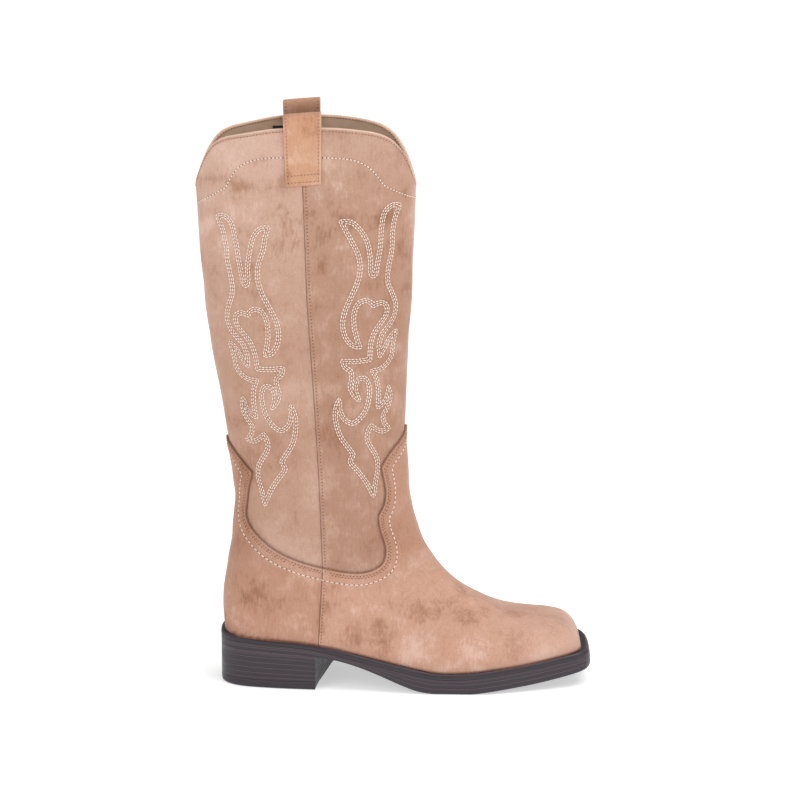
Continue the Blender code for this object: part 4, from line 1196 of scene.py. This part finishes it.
# ---- the bottom ---------------------------------------------------------------------------
class Plan:
    """An outline of two sides and two ends, offset ring by ring and closed by gridded caps."""

    def __init__(self, lateral, far, medial, near):
        self.side_count = len(lateral)
        self.end_count = len(far)
        self.loop = np.concatenate([lateral, far[1:-1], medial[::-1], near[::-1][1:-1]])
        ahead, behind = np.roll(self.loop, -1, axis=0), np.roll(self.loop, 1, axis=0)
        heading = ahead - behind
        heading /= np.linalg.norm(heading, axis=1, keepdims=True)
        self.normal = np.column_stack([heading[:, 1], -heading[:, 0]])

    def ring(self, offset, height):
        flat = self.loop + self.normal * np.broadcast_to(offset, (len(self.loop),))[:, None]
        return np.column_stack([flat, height(flat[:, 0]) if callable(height) else np.full(len(flat), height)])

    def cap(self, base, ring, height, first):
        """Interior points and faces that close a ring whose first vertex number is base.

        height is asked for each point, with its grid steps from the nearer end and side; the
        points are numbered from first."""
        n, m = self.side_count, self.end_count
        lateral = list(range(n))
        far = [n - 1] + list(range(n, n + m - 2)) + [n + m - 2]
        medial = list(range(n + m - 2, 2 * n + m - 2))[::-1]
        near = [0] + list(range(2 * n + m - 2, 2 * n + 2 * m - 4))[::-1] + [2 * n + m - 3]
        grid = np.zeros((n, m), int)
        grid[:, 0] = lateral
        grid[:, -1] = medial
        grid[0] = near
        grid[-1] = far
        grid += base
        points = []
        for k in range(1, n - 1):
            a, b = ring[lateral[k]], ring[medial[k]]
            for c in range(1, m - 1):
                spot = a + (b - a) * c / (m - 1)
                spot[2] = height(spot[0], spot[1], min(k, n - 1 - k), min(c, m - 1 - c))
                grid[k, c] = first + len(points)
                points.append(spot)
        faces = []
        for k in range(n - 1):
            for c in range(m - 1):
                faces.append((grid[k, c], grid[k + 1, c], grid[k + 1, c + 1], grid[k, c + 1]))
        return points, faces


def swept(name, plan, rings, material, caps=None, sharp=30):
    """Rings from top to bottom; capped by gridded faces, or joined last to first as a band.

    Each ring is its offset, its height and how much painted highlight it carries as a layer line."""
    made = [plan.ring(ring[0], ring[1]) for ring in rings]
    count = len(plan.loop)
    line_highlight = np.repeat([ring[2] if len(ring) > 2 else 0.0 for ring in rings], count)
    vertices = np.concatenate(made)
    faces = ring_faces(len(rings), count, closed=caps is None, turned=True)
    last = (len(rings) - 1) * count
    for ring, base, height, turn in zip((made[0], made[-1]), (0, last), caps or (), (1, -1)):
        points, cap = plan.cap(base, ring, height, len(vertices))
        vertices = np.concatenate([vertices, np.array(points)])
        faces += [face[::turn] for face in cap]
    line_highlight = np.concatenate([line_highlight, np.zeros(len(vertices) - len(line_highlight))])
    return add_mesh(name, vertices, faces, material, sharp=sharp, shades={"ridge": line_highlight})


def layer_line(height, out=-0.02, strength=1.0):
    """Rings of one moulded line: a hair groove with a soft lip below it that carries a painted highlight."""
    groove = out - 0.16 * strength
    return [(out, lambda x: height(x) + 0.75), (groove, lambda x: height(x) + 0.45),
            (groove, lambda x: height(x) + 0.25), (out, lambda x: height(x) + 0.05, 0.8),
            (out + 0.03, lambda x: height(x) - 0.3, 0.8), (out, lambda x: height(x) - 0.75)]


def tread_rib(phase, pitch):
    """0 to 1 over the flat top of a rib."""
    return min(1.0, max(0.0, (0.5 + 0.5 * math.cos(2 * math.pi * phase / pitch) - 0.35) * 4))


def sole_curves():
    """The sole's outline as a smooth closed line, split at the four corners of its plan."""
    outer, inner = SOLE_PLAN[:, :2], SOLE_PLAN[:, [0, 2]]
    points = np.concatenate([outer, inner[::-1]])
    wrapped = np.concatenate([points[-3:], points, points[:3]])
    run = run_along(wrapped, 0.6)
    table = np.column_stack([run, wrapped])
    size = len(outer)
    knots = run[3:3 + len(points)]
    closing = run[3 + len(points)]

    def between(low, high):
        return curve_through(table, np.linspace(low, high, 400))

    lateral = between(knots[0], knots[size - 1])
    toe = between(knots[size - 1], knots[size])
    medial = between(knots[size], knots[-1])[::-1]
    heel = between(knots[-1], closing)[::-1]
    return lateral, toe, medial, heel


def below_welt(drop):
    return lambda x: welt_top(x) - drop


def above_underside(rise):
    return lambda x: outsole_under(x) + rise


def build_welt(plan, flare):
    band = swept("welt_band", plan, [
        (-9.0, below_welt(0.0)), (-4.6, below_welt(-0.05)), (-2.2 - flare, below_welt(0.0)),
        (-1.3 - flare, below_welt(0.15), 0.3), (-0.6 - flare, below_welt(0.5), 0.5),
        (-0.15 - flare, below_welt(1.1), 0.4), (0.1 - 0.8 * flare, below_welt(1.9)),
        (0.1 - 0.5 * flare, below_welt(3.5)), (0.0 - 0.4 * flare, below_welt(4.1)),
        (-0.1 - 0.4 * flare, below_welt(4.3)), (-3.0, below_welt(WELT_FOOT)), (-9.0, below_welt(WELT_FOOT))],
        RUBBER, sharp=38)
    carry(band, "foot", "sole_rubber", "welt")


def build_outsole(plan, flare, arch):
    def side(share, shift=0.0):
        return lambda x: (welt_top(x) - 4.7) * (1 - share) + (outsole_under(x) + 1.5) * share + shift

    rings = [(-3.2, below_welt(OUTSOLE_TOP)), (-0.3 - 0.4 * flare, below_welt(4.45)),
             (-0.05 - 0.4 * flare, side(0.0), 0.5), (0.0 - 0.4 * flare, side(0.0, -0.3), 0.5)]
    for share in (0.34, 0.70):
        rings += layer_line(side(share), -0.02 - 0.3 * flare * (1 - share), arch)
    rings += [(-0.02, above_underside(1.4)), (-0.02 - 0.18 * arch, above_underside(0.7)),
              (-0.05 - 0.65 * arch, above_underside(0.2)), (-0.1 - 1.5 * arch, outsole_under)]
    rib_start, rib_end, rib_fade = 2.0, 126.0, 5.0

    def tread(x, y, from_end, from_side):
        low = outsole_under(x)[0]
        if rib_start < x < rib_end and from_side > 2:
            edge = min(1.0, (x - rib_start) / rib_fade, (rib_end - x) / rib_fade)
            low += 0.9 * edge * tread_rib(x + 0.012 * (y - 2) ** 2, 7.0)
        return low

    outsole = swept("outsole_layers", plan, rings, RUBBER,
                    (lambda x, *rest: welt_top(x)[0] - OUTSOLE_TOP, tread))
    carry(outsole, "foot", "sole_rubber", "outsole")


def build_heel(lateral, medial, heel):
    outer = evenly(lateral[lateral[:, 0] <= HEEL_BREAST[0]], HEEL_SIDE_STEPS)
    inner = evenly(medial[medial[:, 0] <= HEEL_BREAST[1]], HEEL_SIDE_STEPS)
    breast = np.linspace(outer[-1], inner[-1], END_STEPS)
    breast[:, 0] -= 1.6 * np.sin(np.linspace(0, math.pi, END_STEPS))
    plan = Plan(outer, breast, inner, evenly(heel, END_STEPS))

    def stack(share, shift=0.0):
        return lambda x: (outsole_under(x) - 0.05) * (1 - share) + LIFT_TOP * share + shift

    rings = [(-3.0, stack(0.0)), (-0.15, stack(0.0)), (-0.02, stack(0.0, -0.15), 0.7),
             (0.0, stack(0.0, -0.5), 0.7)]
    for share in (0.20, 0.38, 0.56, 0.74, 0.90):
        rings += layer_line(stack(share))
    rings += [(-0.02, stack(1.0, 0.35)), (-0.15, stack(1.0, 0.1)), (-0.6, stack(1.0))]
    block = swept("heel_layers", plan, rings, RUBBER,
                  (lambda x, *rest: outsole_under(x)[0] - 0.05, lambda *rest: LIFT_TOP))
    carry(block, "foot", "sole_rubber", "heel_block")

    def lift_tread(x, y, from_end, from_side):
        return 0.8 * tread_rib(x + 0.5 * y, 6.0) if from_side > 2 and from_end > 3 else 0.0

    lift = swept("heel_lift", plan, [
        (-0.6, 6.15), (-0.1, 6.05, 0.7), (0.0, 5.8, 0.7), (0.0, 5.4), (0.0, 3.0), (-0.05, 1.4),
        (-0.3, 0.6), (-0.9, 0.12), (-1.8, 0.0)], RUBBER, (lambda *rest: 6.15, lift_tread))
    carry(lift, "foot", "sole_rubber", "heel_top_piece")


def build_footbed(plan, front):
    def bed(rise):
        return lambda x: welt_top(x) + BED_RISE + rise

    def crowned(x, y, from_end, from_side):
        soft = 0.9 * min(1.0, from_side / 5.0) * min(1.0, from_end / 8.0)
        heel_seat = 1.0 * math.exp(-((x + 100) / 28) ** 2 - (y / 16) ** 2)
        return welt_top(x)[0] + BED_RISE + BED_THICK + soft - heel_seat

    footbed = swept("padded_footbed", plan, [
        (-11.2 - front, bed(BED_THICK)), (-10.4 - front, bed(2.7)), (-9.9 - front, bed(2.0)),
        (-9.8 - front, bed(1.0)), (-10.0 - front, bed(0.2)), (-10.8 - front, bed(0.0))],
        FOOTBED_CLOTH, (crowned, lambda x, *rest: welt_top(x)[0] + BED_RISE), sharp=38)
    carry(footbed, "foot", "footbed_cloth", "footbed")


def build_bottom():
    lateral, toe, medial, heel = sole_curves()
    plan = Plan(evenly(lateral, SIDE_STEPS), evenly(toe, END_STEPS), evenly(medial, SIDE_STEPS),
                evenly(heel, END_STEPS))
    x = plan.loop[:, 0]
    # the toe wall of the sole leans outwards towards the floor
    flare = 2.6 * step_up(x, 131, 140)
    build_welt(plan, flare)
    # the seat of the heel is flat against its block; elsewhere the sole's lower edge is rounded
    build_outsole(plan, flare, step_up(x, -66, -50))
    build_heel(lateral, medial, heel)
    build_footbed(plan, 1.6 * step_up(x, 128, 140))


def finish_inner_nodes():
    for name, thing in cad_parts.items():
        if name.startswith("heel_nail") or name == "shank":
            thing.material_slots[0].material = STEEL
        elif name in ("insole_board", "bottom_filler"):
            thing.material_slots[0].material = BOARD


# ---- stage, light and camera --------------------------------------------------------------
def build_stage():
    """A pale floor, a white studio and three soft lights."""
    size, sunk = 40.0, -0.0002
    mesh = bpy.data.meshes.new("floor")
    corners = [(-size, -size, sunk), (size, -size, sunk), (size, size, sunk), (-size, size, sunk)]
    mesh.from_pydata(corners, [], [(0, 1, 2, 3)])
    n = Nodes("pale_floor")
    # the floor glows a little, and more away from the boot
    reach = n.add("VectorMath", "Value", {0: n.place}, operation="LENGTH")
    away = n.maths("MULTIPLY", n.maths("SUBTRACT", reach, 0.3), 0.9, clamp=True)
    n.set(Base_Color=n.greys(n.noise(3.0, 2.0), 0.3, 0.90, 0.7, 0.92), Roughness=0.9,
          Specular_IOR_Level=0.0, Emission_Color=(1.0, 1.0, 1.0),
          Emission_Strength=n.maths("ADD", n.maths("MULTIPLY", away, 0.22), 0.50))
    mesh.materials.append(n.material)
    floor = bpy.data.objects.new("floor", mesh)
    bpy.context.scene.collection.objects.link(floor)

    world = bpy.data.worlds.new("studio")
    bpy.context.scene.world = world
    world.use_nodes = True
    sky = world.node_tree.nodes["Background"]
    sky.inputs["Color"].default_value = (1.0, 1.0, 1.0, 1.0)
    sky.inputs["Strength"].default_value = 0.34

    aim = np.array((0.0, 0.0, 0.2))
    for name, spot, size, power in (("key_softbox", (-1.3, -1.5, 1.5), 1.4, 11.4),
                                    ("fill_softbox", (1.6, -1.3, 0.9), 1.4, 4.5),
                                    ("top_softbox", (0.6, -0.2, 1.9), 1.6, 24.0)):
        light = bpy.data.lights.new(name, "AREA")
        light.size = size
        light.energy = power
        lamp = bpy.data.objects.new(name, light)
        lamp.location = spot
        lamp.rotation_mode = "QUATERNION"
        lamp.rotation_quaternion = Vector(np.array(spot) - aim).to_track_quat("Z", "Y")
        bpy.context.scene.collection.objects.link(lamp)


def build_camera():
    """A long lens at the outer side of the boot, looking a little down."""
    camera = bpy.data.cameras.new("camera")
    camera.lens = 132.6
    camera.sensor_width = 36.0
    thing = bpy.data.objects.new("camera", camera)
    ahead, away, height, tilt = -0.0042, 2.150, 0.7529, 13.98
    thing.location = (ahead - FRAME_ORIGIN[0] * MM, -away - FRAME_ORIGIN[1] * MM, height)
    thing.rotation_euler = (math.radians(90 - tilt), 0.0, 0.0)
    bpy.context.scene.collection.objects.link(thing)
    bpy.context.scene.camera = thing


bpy.context.scene.view_settings.view_transform = "Standard"
build_stage()
build_camera()
leather_loft = Loft(2.0)
build_panels(leather_loft)
build_rim(leather_loft)
build_stitching(leather_loft)
build_straps(leather_loft)
build_tab(leather_loft)
build_lining(Loft(3.6))
build_bottom()
finish_inner_nodes()
